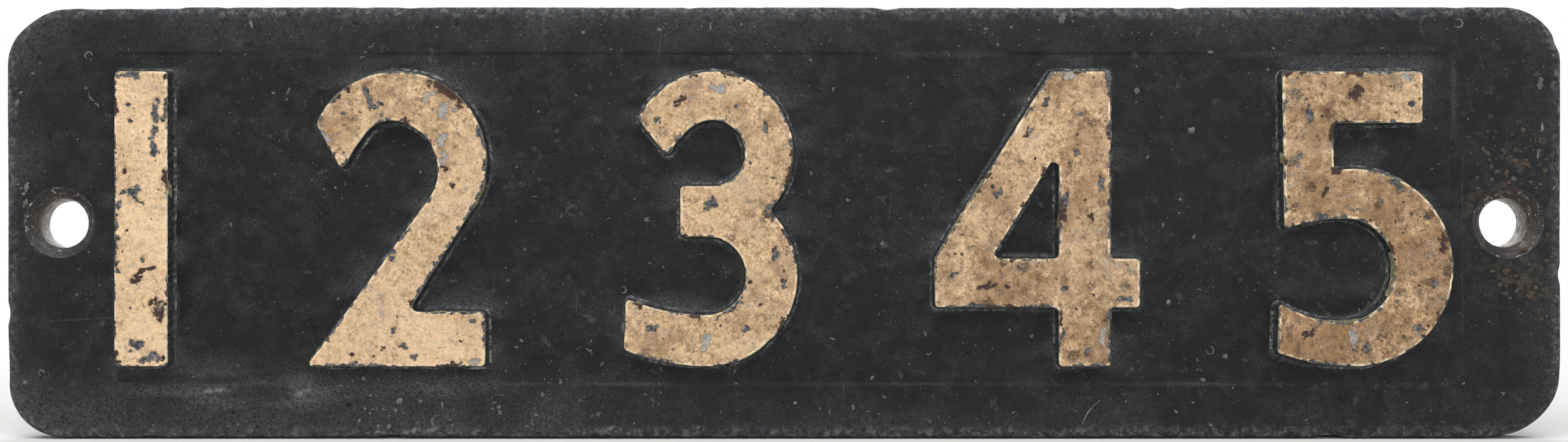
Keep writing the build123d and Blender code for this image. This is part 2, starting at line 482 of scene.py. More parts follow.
def cloud(tree, place, size, low, high, detail=4.0, roughness=0.6):
    """Cloudy noise of that size, stretched so that low to high becomes 0 to 1."""
    fac = add_node(
        tree,
        "ShaderNodeTexNoise",
        {"Vector": place, "Scale": per_metre(size), "Detail": detail, "Roughness": roughness},
    )
    return add_node(tree, "ShaderNodeMapRange", {"Value": fac, "From Min": low, "From Max": high})


def times(tree, first, second):
    """The product of two values."""
    return add_node(tree, "ShaderNodeMath", {0: first, 1: second}, operation="MULTIPLY")


def laid_over(tree, share, under, over):
    """One colour laid over another by that share."""
    return add_node(tree, "ShaderNodeMix", {0: share, 6: under, 7: over}, data_type="RGBA")


def scratches(tree, place, turn, rarity):
    """Hairline scratches 20 mm long that run at that angle in degrees, few and broken."""
    turned = add_node(
        tree, "ShaderNodeMapping", {"Vector": place, "Rotation": (0.0, math.radians(turn), 0.0)}
    )
    lined = add_node(tree, "ShaderNodeMapping", {"Vector": turned, "Scale": (0.02, 1.0, 1.0)})
    hair = cloud(tree, lined, 0.5, rarity, rarity + 0.02, 1.0, 0.4)
    return times(tree, hair, cloud(tree, place, 9.0, 0.5, 0.56, 2.0))


def black_paint(colours):
    """Gloss paint gone dull over the grain of the sand mould: near black, cool and warm by turns,
    with grey on the high spots of its grain that is partly painted sparkle in place of its gloss,
    dust lying in its hollows, pale specks, hairline scratches and a blue-grey rub at the edges."""
    material, tree, place = start_material("weathered_black_gloss_paint")
    dust = add_node(tree, "ShaderNodeAttribute", output="Fac", attribute_name="dust")
    edge = add_node(tree, "ShaderNodeAttribute", output="Fac", attribute_name="edge")
    rust = add_node(tree, "ShaderNodeAttribute", output="Fac", attribute_name="rust")
    ragged = shaken(tree, place, 1.0, 0.45)
    colour = laid_over(tree, cloud(tree, place, 30, 0.4, 0.6), colours.black_cool, colours.black_warm)
    # Grey on the high spots of the grain, about 0.4 mm apart, and thicker in patches: partly the paint's own dull grey,
    # partly painted sparkle in place of the gloss of the grain
    patches = add_node(
        tree,
        "ShaderNodeMath",
        {0: cloud(tree, place, 9, 0.45, 0.66, 5.0, 0.75), 1: 0.27, 2: 0.015},
        operation="MULTIPLY_ADD",
    )
    bloom_and_painted_sparkle = times(tree, cloud(tree, place, 0.4, 0.45, 0.62, 3.0, 0.8), patches)
    colour = laid_over(tree, bloom_and_painted_sparkle, colour, colours.dust)
    # Ragged smears of an older grey paint, a few millimetres across
    smears = times(tree, cloud(tree, ragged, 6.0, 0.6, 0.64, 5.0, 0.72), cloud(tree, place, 34, 0.45, 0.6))
    colour = laid_over(tree, times(tree, smears, 0.28), colour, colours.fleck)
    haze = times(tree, dust, cloud(tree, place, 0.9, 0.38, 0.62, 5.0, 0.82))
    colour = laid_over(tree, haze, colour, colours.dust)
    # A pale line of packed dust where the dust is thickest
    packed = add_node(tree, "ShaderNodeMapRange", {"Value": dust, "From Min": 0.72, "From Max": 0.95})
    packed = times(tree, packed, cloud(tree, place, 3.0, 0.49, 0.57, 5.0, 0.85))
    colour = laid_over(tree, times(tree, packed, 0.75), colour, linear("#8B8D8E"))
    rub = times(tree, edge, cloud(tree, ragged, 2.6, 0.44, 0.6, 5.0, 0.75))
    colour = laid_over(tree, times(tree, rub, 0.9), colour, colours.worn_edge)
    flaked = times(tree, edge, cloud(tree, ragged, 3.0, 0.54, 0.56, 5.0, 0.75))
    colour = laid_over(tree, times(tree, flaked, 0.8), colour, colours.fleck)
    colour = laid_over(tree, times(tree, spots(tree, ragged, 1.6, 0.27, 0.4), 0.7), colour, linear("#7E807D"))
    colour = laid_over(tree, times(tree, spots(tree, ragged, 4.1, 0.5, 0.25), 0.8), colour, colours.fleck)
    for turn in (84, 31):
        line = scratches(tree, place, turn, 0.79)
        colour = laid_over(tree, times(tree, line, 0.5), colour, colours.fleck)
    eaten = times(tree, rust, cloud(tree, ragged, 4.0, 0.51, 0.59, 5.0, 0.7))
    rusty = laid_over(tree, cloud(tree, place, 2.2, 0.46, 0.56, 3.0), linear("#4C4C47"), colours.rust)
    colour = laid_over(tree, times(tree, eaten, 0.7), colour, rusty)
    grain = add_node(
        tree,
        "ShaderNodeTexNoise",
        {"Vector": place, "Scale": per_metre(0.8), "Detail": 4.0, "Roughness": 0.7},
    )
    roughness = add_node(
        tree, "ShaderNodeMapRange", {"Value": grain, "From Min": 0.3, "From Max": 0.7, "To Min": 0.4, "To Max": 0.62}
    )
    roughness = add_node(tree, "ShaderNodeMix", {0: dust, 2: roughness, 3: 0.85})
    finish_material(tree, colour, roughness, grain, 0.22, Specular_IOR_Level=0.17)
    return material


def cream_paint(colours):
    """Old oil paint on the numerals' faces: cream with a mottled grain, browned by oil and soot,
    crazed near its edges, chipped to the undercoat or the iron, and black on the walls; the pale lines
    along the face's edge and where the cream ends on the wall are partly painted highlight."""
    material, tree, place = start_material("aged_cream_oil_paint")
    chip = add_node(tree, "ShaderNodeAttribute", output="Fac", attribute_name="chip")
    kind = add_node(tree, "ShaderNodeAttribute", output="Fac", attribute_name="chip_kind")
    rim = add_node(tree, "ShaderNodeAttribute", output="Fac", attribute_name="rim")
    stain = add_node(tree, "ShaderNodeAttribute", output="Fac", attribute_name="stain")
    ragged = shaken(tree, place, 1.0, 0.4)
    grain = add_node(
        tree,
        "ShaderNodeTexNoise",
        {"Vector": place, "Scale": per_metre(0.8), "Detail": 4.0, "Roughness": 0.7},
    )
    # A brown wash, mottled grain 1 mm apart, brown patches 3 mm across and clouds 12 mm across
    depth = add_node(tree, "ShaderNodeMath", {0: stain, 1: 0.5, 2: 0.6}, operation="MULTIPLY_ADD")
    browned = cloud(tree, place, 12, 0.4, 0.62, 5.0, 0.72)
    washed = add_node(tree, "ShaderNodeMath", {0: browned, 1: 0.65, 2: 0.15}, operation="MULTIPLY_ADD")
    colour = laid_over(tree, times(tree, washed, stain), colours.cream, linear("#8B7253"))
    mottle = times(tree, cloud(tree, place, 1.0, 0.46, 0.58, 4.0, 0.85), depth)
    colour = laid_over(tree, times(tree, mottle, 0.85), colour, colours.cream_grain)
    patches = times(tree, cloud(tree, place, 3.4, 0.49, 0.62, 6.0, 0.85), depth)
    colour = laid_over(tree, times(tree, patches, 0.75), colour, colours.stain)
    dots = spots(tree, shaken(tree, place, 4, 1.6), 6.5, 3.4, 0.6, 1.6)
    dots = times(tree, dots, cloud(tree, place, 1.0, 0.4, 0.56, 4.0, 0.75))
    colour = laid_over(tree, times(tree, dots, stain), colour, linear("#523C28"))
    pocks = times(tree, spots(tree, ragged, 3.1, 0.95, 0.3, 0.35), stain)
    colour = laid_over(tree, times(tree, pocks, 0.8), colour, linear("#3E2F22"))
    lights = times(tree, cloud(tree, place, 1.0, 0.55, 0.63, 3.0, 0.8), cloud(tree, place, 14, 0.42, 0.6))
    clean = add_node(
        tree, "ShaderNodeMapRange", {"Value": stain, "From Min": 0.3, "From Max": 1.8, "To Min": 1.0, "To Max": 0.25}
    )
    lights = times(tree, lights, clean)
    colour = laid_over(tree, times(tree, lights, 0.95), colour, linear("#FBE8C8"))
    # Fine dark speckles in the pores, 0.5 mm across, thicker in patches
    speckled = times(tree, cloud(tree, place, 7, 0.42, 0.6, 4.0, 0.7), depth)
    speckles = times(tree, spots(tree, ragged, 1.1, 0.4, 0.6, 0.12), speckled)
    colour = laid_over(tree, times(tree, speckles, 0.95), colour, linear("#523D2B"))
    # Blue-grey undercoat that shows faintly where the cream is rubbed thin
    thin = times(tree, cloud(tree, place, 20, 0.52, 0.62, 2.0), cloud(tree, ragged, 2.2, 0.54, 0.6, 5.0, 0.7))
    colour = laid_over(tree, times(tree, thin, 0.6), colour, linear("#8D9192"))
    # Crazing: the paint's own lighter edges along fine cracks 2.5 mm apart
    cracks = add_node(
        tree,
        "ShaderNodeTexVoronoi",
        {"Vector": ragged, "Scale": per_metre(2.4)},
        feature="DISTANCE_TO_EDGE",
    )
    crazed = add_node(
        tree,
        "ShaderNodeMapRange",
        {"Value": cracks, "From Min": 0.0, "From Max": 0.05, "To Min": 1.0, "To Max": 0.0},
    )
    crazed = times(tree, crazed, cloud(tree, place, 10, 0.5, 0.62))
    pale = linear("#F2DFBD")
    colour = laid_over(tree, times(tree, crazed, 0.35), colour, pale)
    # Pale within about 0.5 mm of the face's edge, broken by noise: partly thicker paint at the edge, partly a painted
    # highlight along the edge
    thick_rim_and_painted_highlight = add_node(
        tree, "ShaderNodeMapRange", {"Value": rim, "From Min": 0.15, "From Max": 0.5, "To Min": 1.0, "To Max": 0.0}
    )
    colour = laid_over(tree, times(tree, thick_rim_and_painted_highlight, cloud(tree, place, 3.5, 0.4, 0.6)), colour, pale)
    colour = laid_over(
        tree, times(tree, spots(tree, ragged, 4.3, 0.45, 0.25), 0.85), colour, colours.undercoat
    )
    for turn in (-9, 77):
        line = scratches(tree, place, turn, 0.78)
        colour = laid_over(tree, times(tree, line, 0.5), colour, colours.undercoat)
    # Chips: the field from the mesh, its edge broken by noise 1.2 mm apart, with a brown halo
    worn = add_node(tree, "ShaderNodeAttribute", output="Fac", attribute_name="worn")
    bitten = add_node(
        tree,
        "ShaderNodeTexNoise",
        {"Vector": place, "Scale": per_metre(1.2), "Detail": 5.0, "Roughness": 0.72},
    )
    field = add_node(tree, "ShaderNodeMath", {0: bitten, 1: 3.2, 2: -1.6}, operation="MULTIPLY_ADD")
    field = add_node(tree, "ShaderNodeMath", {0: field, 1: chip}, operation="ADD")
    halo = add_node(tree, "ShaderNodeMapRange", {"Value": field, "From Min": -0.7, "From Max": 0.1})
    colour = laid_over(tree, times(tree, halo, 0.6), colour, colours.stain)
    chipped = add_node(tree, "ShaderNodeMapRange", {"Value": field, "From Min": -0.06, "From Max": 0.06})
    reach = times(tree, cloud(tree, place, 12.0, 0.47, 0.66, 3.0), cloud(tree, place, 2.0, 0.42, 0.68, 5.0, 0.75))
    reach = times(tree, reach, worn)
    bite = add_node(tree, "ShaderNodeMath", {0: times(tree, reach, 2.6), 1: rim}, operation="SUBTRACT")
    bite = add_node(tree, "ShaderNodeMapRange", {"Value": bite, "From Min": 0.0, "From Max": 0.14})
    lost = add_node(tree, "ShaderNodeMath", {0: chipped, 1: bite}, operation="MAXIMUM")
    under = add_node(tree, "ShaderNodeValToRGB", {"Fac": kind}, "Color")
    ramp = under.node.color_ramp
    ramp.elements[0].position = 0.25
    ramp.elements[0].color = colours.undercoat
    ramp.elements[1].position = 0.75
    ramp.elements[1].color = colours.primer
    ramp.elements.new(0.5).color = colours.maroon
    rubbed = add_node(tree, "ShaderNodeMapRange", {"Value": kind, "From Min": 0.5, "From Max": 0.1})
    under = laid_over(
        tree, times(tree, times(tree, rubbed, 0.75), cloud(tree, place, 1.3, 0.43, 0.6, 4.0, 0.75)), under, linear("#7F8184")
    )
    # The pale primer is worn through to blue-grey in its hollows
    pale_kind = add_node(tree, "ShaderNodeMapRange", {"Value": kind, "From Min": 0.6, "From Max": 0.8})
    hollow = times(tree, cloud(tree, place, 1.1, 0.46, 0.57, 4.0, 0.8), pale_kind)
    under = laid_over(tree, times(tree, hollow, 0.7), under, linear("#777B82"))
    colour = laid_over(tree, lost, colour, under)
    # Down the wall: cream runs a little way over the edge, then black, with dust at the foot
    height = add_node(tree, "ShaderNodeSeparateXYZ", {"Vector": place}, "Y")
    drop = add_node(
        tree, "ShaderNodeMath", {0: height, 1: 1 / MM, 2: -float(FACE_Y)}, operation="MULTIPLY_ADD"
    )
    lip = add_node(
        tree,
        "ShaderNodeMath",
        {0: cloud(tree, place, 7, 0.3, 0.7), 1: 0.55, 2: 0.35},
        operation="MULTIPLY_ADD",
    )
    run = times(tree, cloud(tree, place, 24, 0.58, 0.62, 2.0), 2.4)
    lip = add_node(tree, "ShaderNodeMath", {0: lip, 1: run}, operation="ADD")
    greened = add_node(tree, "ShaderNodeMapRange", {"Value": drop, "From Min": 0.1, "From Max": 0.6})
    outer = add_node(
        tree, "ShaderNodeMapRange", {"Value": rim, "From Min": 0.0, "From Max": 0.4, "To Min": 1.0, "To Max": 0.0}
    )
    greened = times(tree, greened, outer)
    colour = laid_over(tree, times(tree, greened, 0.55), colour, linear("#9C9566"))
    over = add_node(tree, "ShaderNodeMath", {0: drop, 1: lip}, operation="SUBTRACT")
    wall = add_node(tree, "ShaderNodeMapRange", {"Value": over, "From Min": -0.06, "From Max": 0.06})
    foot = add_node(
        tree,
        "ShaderNodeMapRange",
        {"Value": drop, "From Min": RELIEF - 1.0, "From Max": RELIEF - 0.1},
    )
    black = laid_over(
        tree, cloud(tree, place, 1.6, 0.4, 0.95, 4.0, 0.7), colours.black_cool, colours.dust
    )
    dusty = times(tree, foot, cloud(tree, place, 2.6, 0.49, 0.57, 5.0, 0.85))
    dusty = times(tree, dusty, cloud(tree, place, 11.0, 0.44, 0.58, 3.0))
    black = laid_over(tree, times(tree, dusty, 0.9), black, linear("#8B8D8F"))
    colour = laid_over(tree, wall, colour, black)
    # A pale hairline, broken, where the cream ends on the wall: partly the paint's edge, partly a painted highlight
    # along the rounded edge
    hairline = add_node(tree, "ShaderNodeMath", {0: over}, operation="ABSOLUTE")
    hairline = add_node(
        tree, "ShaderNodeMapRange", {"Value": hairline, "From Min": 0.1, "From Max": 0.26, "To Min": 1.0, "To Max": 0.0}
    )
    hairline = times(tree, hairline, cloud(tree, place, 5.0, 0.47, 0.54, 4.0, 0.7))
    colour = laid_over(tree, times(tree, hairline, 0.8), colour, linear("#C9C1B0"))
    film = add_node(tree, "ShaderNodeMath", {0: 1.0, 1: lost}, operation="SUBTRACT")
    bump = add_node(tree, "ShaderNodeMath", {0: grain, 1: 0.6, 2: film}, operation="MULTIPLY_ADD")
    roughness = add_node(
        tree, "ShaderNodeMapRange", {"Value": grain, "From Min": 0.3, "From Max": 0.7, "To Min": 0.45, "To Max": 0.7}
    )
    finish_material(tree, colour, roughness, bump, 0.1, Specular_IOR_Level=0.3)
    return material


def hole_iron(colours):
    """Cast iron worn by bolts: dark and oily at the mouth, grey-brown deeper in, and towards the back
    a painted reflection with painted glints, in streaks that run round the hole."""
    material, tree, place = start_material("bolt_worn_cast_iron")
    streak = add_node(
        tree, "ShaderNodeMapping", {"Vector": shaken(tree, place, 5, 1.0), "Scale": (0.4, 1.0, 0.4)}
    )
    grain = add_node(
        tree,
        "ShaderNodeTexNoise",
        {"Vector": streak, "Scale": per_metre(0.8), "Detail": 4.0, "Roughness": 0.7},
    )
    apart = add_node(tree, "ShaderNodeSeparateXYZ", {"Vector": place}).node.outputs
    deep, back = (
        add_node(
            tree,
            "ShaderNodeMapRange",
            {"Value": apart["Y"], "From Min": (FRONT_Y + low) * MM, "From Max": (FRONT_Y + high) * MM},
        )
        for low, high in ((1.5, 6.0), (5.2, 12.8))
    )
    tone = add_node(tree, "ShaderNodeMapRange", {"Value": grain, "From Min": 0.38, "From Max": 0.64})
    mouth = laid_over(tree, tone, linear("#161616"), linear("#33302F"))
    bore = laid_over(tree, tone, linear("#332D2A"), colours.bare_iron)
    colour = laid_over(tree, deep, mouth, bore)
    # Black paint still covers the outer part of the mouth, in a ragged ring
    outer = add_node(
        tree,
        "ShaderNodeMapRange",
        {
            "Value": apart["Y"],
            "From Min": (FRONT_Y + 0.4) * MM,
            "From Max": (FRONT_Y + 2.8) * MM,
            "To Min": 1.0,
            "To Max": 0.0,
        },
    )
    painted_ring = times(tree, outer, cloud(tree, place, 3.0, 0.38, 0.56, 4.0, 0.75))
    colour = laid_over(tree, times(tree, painted_ring, 0.85), colour, colours.black_warm)
    # Maroon primer is left in the right-hand hole
    right = add_node(tree, "ShaderNodeMapRange", {"Value": apart["X"], "To Min": 0.05, "To Max": 1.3})
    red = times(tree, cloud(tree, place, 7, 0.45, 0.6), right)
    colour = laid_over(tree, red, colour, colours.maroon)
    # Towards the back the iron is painted pale, in crumbs and streaks, going nearly white: a painted reflection of the
    # light behind the plate, held in the colour named rubbed
    rubbed = laid_over(tree, tone, linear("#7D7572"), linear("#FBF5F1"))
    colour = laid_over(tree, back, colour, rubbed)
    # Painted glints: pale crumbs on the high spots of the grain, in patches
    painted_glints = add_node(tree, "ShaderNodeMapRange", {"Value": grain, "From Min": 0.58, "From Max": 0.64})
    painted_glints = times(tree, painted_glints, cloud(tree, place, 6, 0.45, 0.6, 3.0))
    colour = laid_over(tree, times(tree, painted_glints, 0.85), colour, linear("#C9C3BC"))
    roughness = add_node(
        tree, "ShaderNodeMapRange", {"Value": grain, "From Min": 0.3, "From Max": 0.7, "To Min": 0.6, "To Max": 0.25}
    )
    finish_material(tree, colour, roughness, grain, 0.3, Specular_IOR_Level=0.45)
    return material


def rusted_iron(colours):
    """Bare sand-cast iron with an old skin of rust: dull browns in patches over a rough grain."""
    material, tree, place = start_material("rusted_sand_cast_iron")
    grain = add_node(
        tree,
        "ShaderNodeTexNoise",
        {"Vector": place, "Scale": per_metre(1.4), "Detail": 5.0, "Roughness": 0.7},
    )
    colour = laid_over(tree, cloud(tree, place, 16, 0.35, 0.65, 6.0), linear("#3A322D"), colours.rust)
    orange = times(tree, cloud(tree, place, 5, 0.5, 0.66, 5.0, 0.7), cloud(tree, place, 40, 0.4, 0.6))
    colour = laid_over(tree, times(tree, orange, 0.6), colour, linear("#7A4E30"))
    dark = times(tree, cloud(tree, place, 2.2, 0.5, 0.7), 0.7)
    colour = laid_over(tree, dark, colour, linear("#241F1D"))
    finish_material(tree, colour, 0.85, grain, 0.22, Specular_IOR_Level=0.35)
    return material


def plain_finish(name, first, second, roughness, size):
    """Two close colours of one dull finish, mottled at that size."""
    material, tree, place = start_material(name)
    grain = add_node(
        tree,
        "ShaderNodeTexNoise",
        {"Vector": place, "Scale": per_metre(size), "Detail": 3.0, "Roughness": 0.6},
    )
    share = add_node(tree, "ShaderNodeMapRange", {"Value": grain, "From Min": 0.38, "From Max": 0.62})
    finish_material(tree, laid_over(tree, share, first, second), roughness, grain, 0.05)
    return material


def scatter_tree(name, blank_kind, blank_inputs):
    """Geometry Nodes that scatter copies of a blank over a surface, by its "share" attribute, each
    one turned and stretched by chance."""
    tree = bpy.data.node_groups.new(name, "GeometryNodeTree")
    for title, kind in (
        ("Geometry", "Geometry"),
        ("Density", "Float"),
        ("Smallest", "Float"),
        ("Largest", "Float"),
        ("Height", "Float"),
        ("Seed", "Int"),
        ("Material", "Material"),
    ):
        tree.interface.new_socket(title, in_out="INPUT", socket_type="NodeSocket" + kind)
    tree.interface.new_socket("Geometry", in_out="OUTPUT", socket_type="NodeSocketGeometry")
    given = add_node(tree, "NodeGroupInput").node.outputs
    share = add_node(tree, "GeometryNodeInputNamedAttribute", {"Name": "share"}, data_type="FLOAT")
    places = add_node(
        tree,
        "GeometryNodeDistributePointsOnFaces",
        {
            "Mesh": given["Geometry"],
            "Density": times(tree, share, given["Density"]),
            "Seed": given["Seed"],
        },
    ).node.outputs
    chance = add_node(tree, "FunctionNodeRandomValue", {"Seed": given["Seed"]}, data_type="FLOAT")
    rare = add_node(tree, "ShaderNodeMath", {0: chance, 1: 4.0}, operation="POWER")
    size = add_node(
        tree,
        "ShaderNodeMapRange",
        {"Value": rare, "To Min": given["Smallest"], "To Max": given["Largest"]},
    )
    stretch = add_node(
        tree,
        "FunctionNodeRandomValue",
        {"Min": (0.3, 0.3, 0.6), "Max": (1.7, 1.7, 1.0), "Seed": given["Seed"]},
        data_type="FLOAT_VECTOR",
    )
    flat = add_node(tree, "ShaderNodeCombineXYZ", {"X": size, "Y": size, "Z": given["Height"]})
    scale = add_node(tree, "ShaderNodeVectorMath", {0: stretch, 1: flat}, operation="MULTIPLY")
    spin = add_node(
        tree,
        "FunctionNodeRandomValue",
        {"Min": (0.0, 0.0, 0.0), "Max": (0.0, 0.0, 2 * math.pi), "Seed": given["Seed"]},
        data_type="FLOAT_VECTOR",
    )
    turned = add_node(
        tree,
        "FunctionNodeRotateRotation",
        {"Rotation": places["Rotation"], "Rotate By": spin},
        rotation_space="LOCAL",
    )
    blank = add_node(tree, blank_kind, blank_inputs)
    copies = add_node(
        tree,
        "GeometryNodeInstanceOnPoints",
        {"Points": places["Points"], "Instance": blank, "Rotation": turned, "Scale": scale},
    )
    whole = add_node(tree, "GeometryNodeRealizeInstances", {"Geometry": copies})
    done = add_node(tree, "GeometryNodeSetMaterial", {"Geometry": whole, "Material": given["Material"]})
    add_node(tree, "NodeGroupOutput", {"Geometry": done})
    return tree


def scatter(name, tree, base, raggedness, **values):
    """A plain mesh of what the tree scatters over the base, with the tree's inputs set by name,
    then pushed about along the front by that many millimetres, so that no two copies match."""
    modifier = base.modifiers.new(name, "NODES")
    modifier.node_group = tree
    for item in tree.interface.items_tree:
        if item.in_out == "INPUT" and item.name in values:
            modifier[item.identifier] = values[item.name]
    bpy.context.view_layer.update()
    evaluated = base.evaluated_get(bpy.context.evaluated_depsgraph_get())
    mesh = bpy.data.meshes.new_from_object(evaluated)
    mesh.name = name
    base.modifiers.remove(modifier)
    points = np.empty(3 * len(mesh.vertices))
    mesh.vertices.foreach_get("co", points)
    points = points.reshape(-1, 3)
    flat = points[:, [0, 2]] / MM
    for axis in (0, 2):
        points[:, axis] += raggedness * MM * flat_noise(flat, 0.8, 401 + axis, 2)
    mesh.vertices.foreach_set("co", points.ravel())
    mesh.update()
    piece = bpy.data.objects.new(name, mesh)
    bpy.context.scene.collection.objects.link(piece)
    bpy.data.objects.remove(base)
    return piece


def panel_step(places):
    """1 on the sunk panel and 0 on the border, with the step between them worn in places."""
    middle, half = (PANEL_LOW + PANEL_HIGH) / 2, (PANEL_HIGH - PANEL_LOW) / 2
    gap = rectangle_distance(places, middle, half, 2.0)
    return 1 - smooth_step(gap, -0.35, 0.0)


def witness_lines(places):
    """1 along the faint ridges where the pattern's blocks met in the mould, and 0 away from them."""
    height = np.zeros(len(places))
    for low, high in WITNESS_LINES:
        low, high = np.array(low), np.array(high)
        along = np.clip((places - low) @ (high - low) / ((high - low) @ (high - low)), 0, 1)
        gap = np.linalg.norm(places - (low + along[:, None] * (high - low)), axis=1)
        height = np.maximum(height, 1 - smooth_step(gap, 0.0, 0.45))
    return height * smooth_step(flat_noise(places, 12.0, 71, 2), -0.5, 0.3)


# Ends of the witness lines, as x and z in millimetres
WITNESS_LINES = (
    ((-111.4, -62.0), (-111.4, 64.0)),
    ((-293.0, -38.5), (-257.0, -36.6)),
    ((260.0, -48.0), (260.0, 40.0)),
)


def pits(places):
    """The depth of the round pits and shallow dents that sand and stones left in the front."""
    chance = np.random.default_rng(17)
    depth = np.zeros(len(places))
    for _ in range(90):
        middle = chance.uniform((-290, -76), (290, 76))
        radius = chance.uniform(0.9, 2.8)
        deepest = chance.uniform(0.12, 0.4)
        near = np.abs(places - middle).max(axis=1) < radius * 1.6
        if near.any():
            gap = np.linalg.norm((places[near] - middle) * chance.uniform(0.7, 1.2, 2), axis=1)
            depth[near] = np.maximum(depth[near], deepest * (1 - smooth_step(gap, 0.2, radius)))
    return depth


def front_surface(places):
    """The height of the plate's front at each x and z, as a y in millimetres."""
    sizes = bpy.context.scene.plate_settings
    wave = flat_noise(places, 26.0, 3, 2) * 0.6 + flat_noise(places, 7.0, 5, 2) * 0.4
    grain = flat_noise(places, 3.0, 7, 2)
    sunk = panel_step(places) * (FRONT_Y - PANEL_Y) * -1
    sunk = sunk * (0.75 + 0.25 * flat_noise(places, 60.0, 9))
    height = wave * sizes.casting_wave / MM + grain * sizes.sand_grain / MM
    height += witness_lines(places) * 0.22 - pits(places)
    return FRONT_Y + sunk + 0.12 - height


def edge_profile(sizes):
    """The plate's edge from back to front: how far in from the back outline, and the y, at each ring."""
    thickness = PLATE_HIGH[1] - PLATE_LOW[1]
    draft, round_radius = sizes.side_draft / MM, sizes.edge_round / MM
    rings = [(1.1, 0.0), (0.45, -0.1), (0.1, -0.4), (0.02, -0.9)]
    for share in (0.25, 0.45, 0.62, 0.77):
        rings.append((draft * share, -thickness * share))
    start = draft * (1 - round_radius / thickness)
    for turn in np.radians((8, 22, 36, 50, 63, 76, 90)):
        inset = start + round_radius * (1 - math.cos(turn))
        rings.append((inset, -(thickness - round_radius) - round_radius * math.sin(turn)))
    return rings


def edge_wear(points):
    """How far the plate's edge is worn back at each point: slow wander, small dents and a few knocks."""
    places = points[:, [0, 2]]
    wander = 0.5 + 0.5 * noise(points, 55.0, 21, 2) / 1.5
    high_left = (1 - smooth_step(places[:, 0], -233.0, -229.5)) * smooth_step(places[:, 1], 70.0, 80.0)
    dents = np.maximum(noise(points, 9.0, 23, 2) - 0.6, 0) * 0.7
    for x, z, radius, depth in EDGE_KNOCKS:
        gap = np.linalg.norm(places - (x, z), axis=1)
        dents = np.maximum(dents, depth * (1 - smooth_step(gap, 0.0, radius)))
    return wander, dents + 0.45 * high_left + noise(points, 2.6, 25, 2) * 0.05


# Knocks in the outline: x, z, radius and depth in millimetres
EDGE_KNOCKS = (
    (295.0, 68.0, 5.0, 1.3),
    (290.0, -77.0, 27.0, 1.7),
    (-290.0, 77.0, 20.0, 0.8),
    (-298.0, -58.0, 22.0, 0.5),
    (-298.0, -35.0, 6.0, 0.7),
    (-150.0, -83.0, 5.0, 0.8),
    (40.0, 83.0, 6.0, 0.6),
    (210.0, -83.0, 8.0, 0.9),
    (299.0, -20.0, 5.0, 0.6),
)


def hole_profile(sizes):
    """A bolt hole from its worn lip to the back: the radius and the depth below the front."""
    mouth, depth = sizes.mouth_radius / MM, sizes.mouth_depth / MM
    thickness = PLATE_HIGH[1] - PLATE_LOW[1]
    rings = [(mouth + 1.0, 0.1), (mouth + 0.45, 0.16), (mouth, 0.42)]
    for share in (0.12, 0.26, 0.4, 0.55, 0.7, 0.85):
        rings.append((mouth + (HOLE_RADIUS - mouth) * share, 0.42 + (depth - 0.42) * share))
    rings.append((HOLE_RADIUS + 0.15, depth))
    for share in (0.08, 0.2, 0.35, 0.5, 0.65, 0.8, 0.92):
        rings.append((HOLE_RADIUS - 0.35 * share, depth + (thickness - depth) * share))
    rings.append((HOLE_RADIUS - 0.2, thickness - 0.35))
    rings.append((HOLE_RADIUS + 0.4, thickness))
    return rings


# How far each bore strays from front to back, as x and z in millimetres
BORE_DRIFT = (np.array([-1.0, -1.1]), np.array([0.1, -0.5]))


def hole_rings(shell, middle, drift, sizes):
    """Make one hole's rings in the shell, from the front one to the back one."""
    turn = np.arange(104) * 2 * math.pi / 104
    away = np.column_stack([np.cos(turn), np.sin(turn)])
    rings = []
    profile = hole_profile(sizes)
    for number, (radius, depth) in enumerate(profile):
        around = np.column_stack([away[:, 0] * 2.2, np.full(len(turn), depth * 1.5), away[:, 1] * 2.2])
        rough = noise(around + middle[0], 1.4, 33, 3) * 0.14
        oval = noise(around * (0.5, 0.0, 0.5) + middle[0], 1.6, 35) * 0.12
        if number in (0, len(profile) - 1):
            rough = 0.0
        places = middle + drift * depth / profile[-1][1] + away * (radius + rough + oval)[:, None]
        if number == 0:
            heights = front_surface(places)
        else:
            heights = np.full(len(places), FRONT_Y + depth)
        rings.append(shell.add(np.column_stack([places[:, 0], heights, places[:, 1]])))
    return rings


def plate_shell(sizes):
    """The worn plate's points and faces: its edge, front, back and two holes."""
    shell = Shell()
    outline = even_points(
        rounded_rectangle(PLATE_HIGH[[0, 2]], sizes.corner_radius / MM), sizes.point_spacing / MM
    )
    outward = outward_of(outline)
    rings = []
    for inset, y in edge_profile(sizes):
        bare = np.column_stack([outline[:, 0], np.full(len(outline), y), outline[:, 1]])
        wander, dents = edge_wear(bare)
        front_share = min(1.0, -y / (PLATE_HIGH[1] - PLATE_LOW[1]))
        back = inset + (wander * 0.6 + dents) * front_share + np.maximum(dents, 0) * 0.4
        back = np.maximum(back - 0.3 * front_share, 0.0)
        places = outline - outward * back[:, None]
        heights = np.full(len(places), y)
        if y < -11.5:
            blend = smooth_step(np.array([-y]), 11.5, -FRONT_Y)[0]
            heights = y + (front_surface(places) - FRONT_Y) * blend
        rings.append(shell.add(np.column_stack([places[:, 0], heights, places[:, 1]])))
    for lower, upper in zip(rings, rings[1:]):
        shell.band(lower, upper)
    holes = [hole_rings(shell, middle, drift, sizes) for middle, drift in zip(HOLES, BORE_DRIFT)]
    for hole in holes:
        for number, (outer, inner) in enumerate(zip(hole, hole[1:])):
            shell.band(outer, inner, 0 if number == 0 else 1)
    fill_front(shell, [rings[-1]] + [hole[0] for hole in holes], sizes)
    fill_back(shell, [rings[0]] + [hole[-1] for hole in holes], sizes)
    return shell


def within(places, border, gap):
    """The places that lie inside a border, at least that far from it."""
    signed, _ = nearest(places, [border])
    return places[signed < -gap]


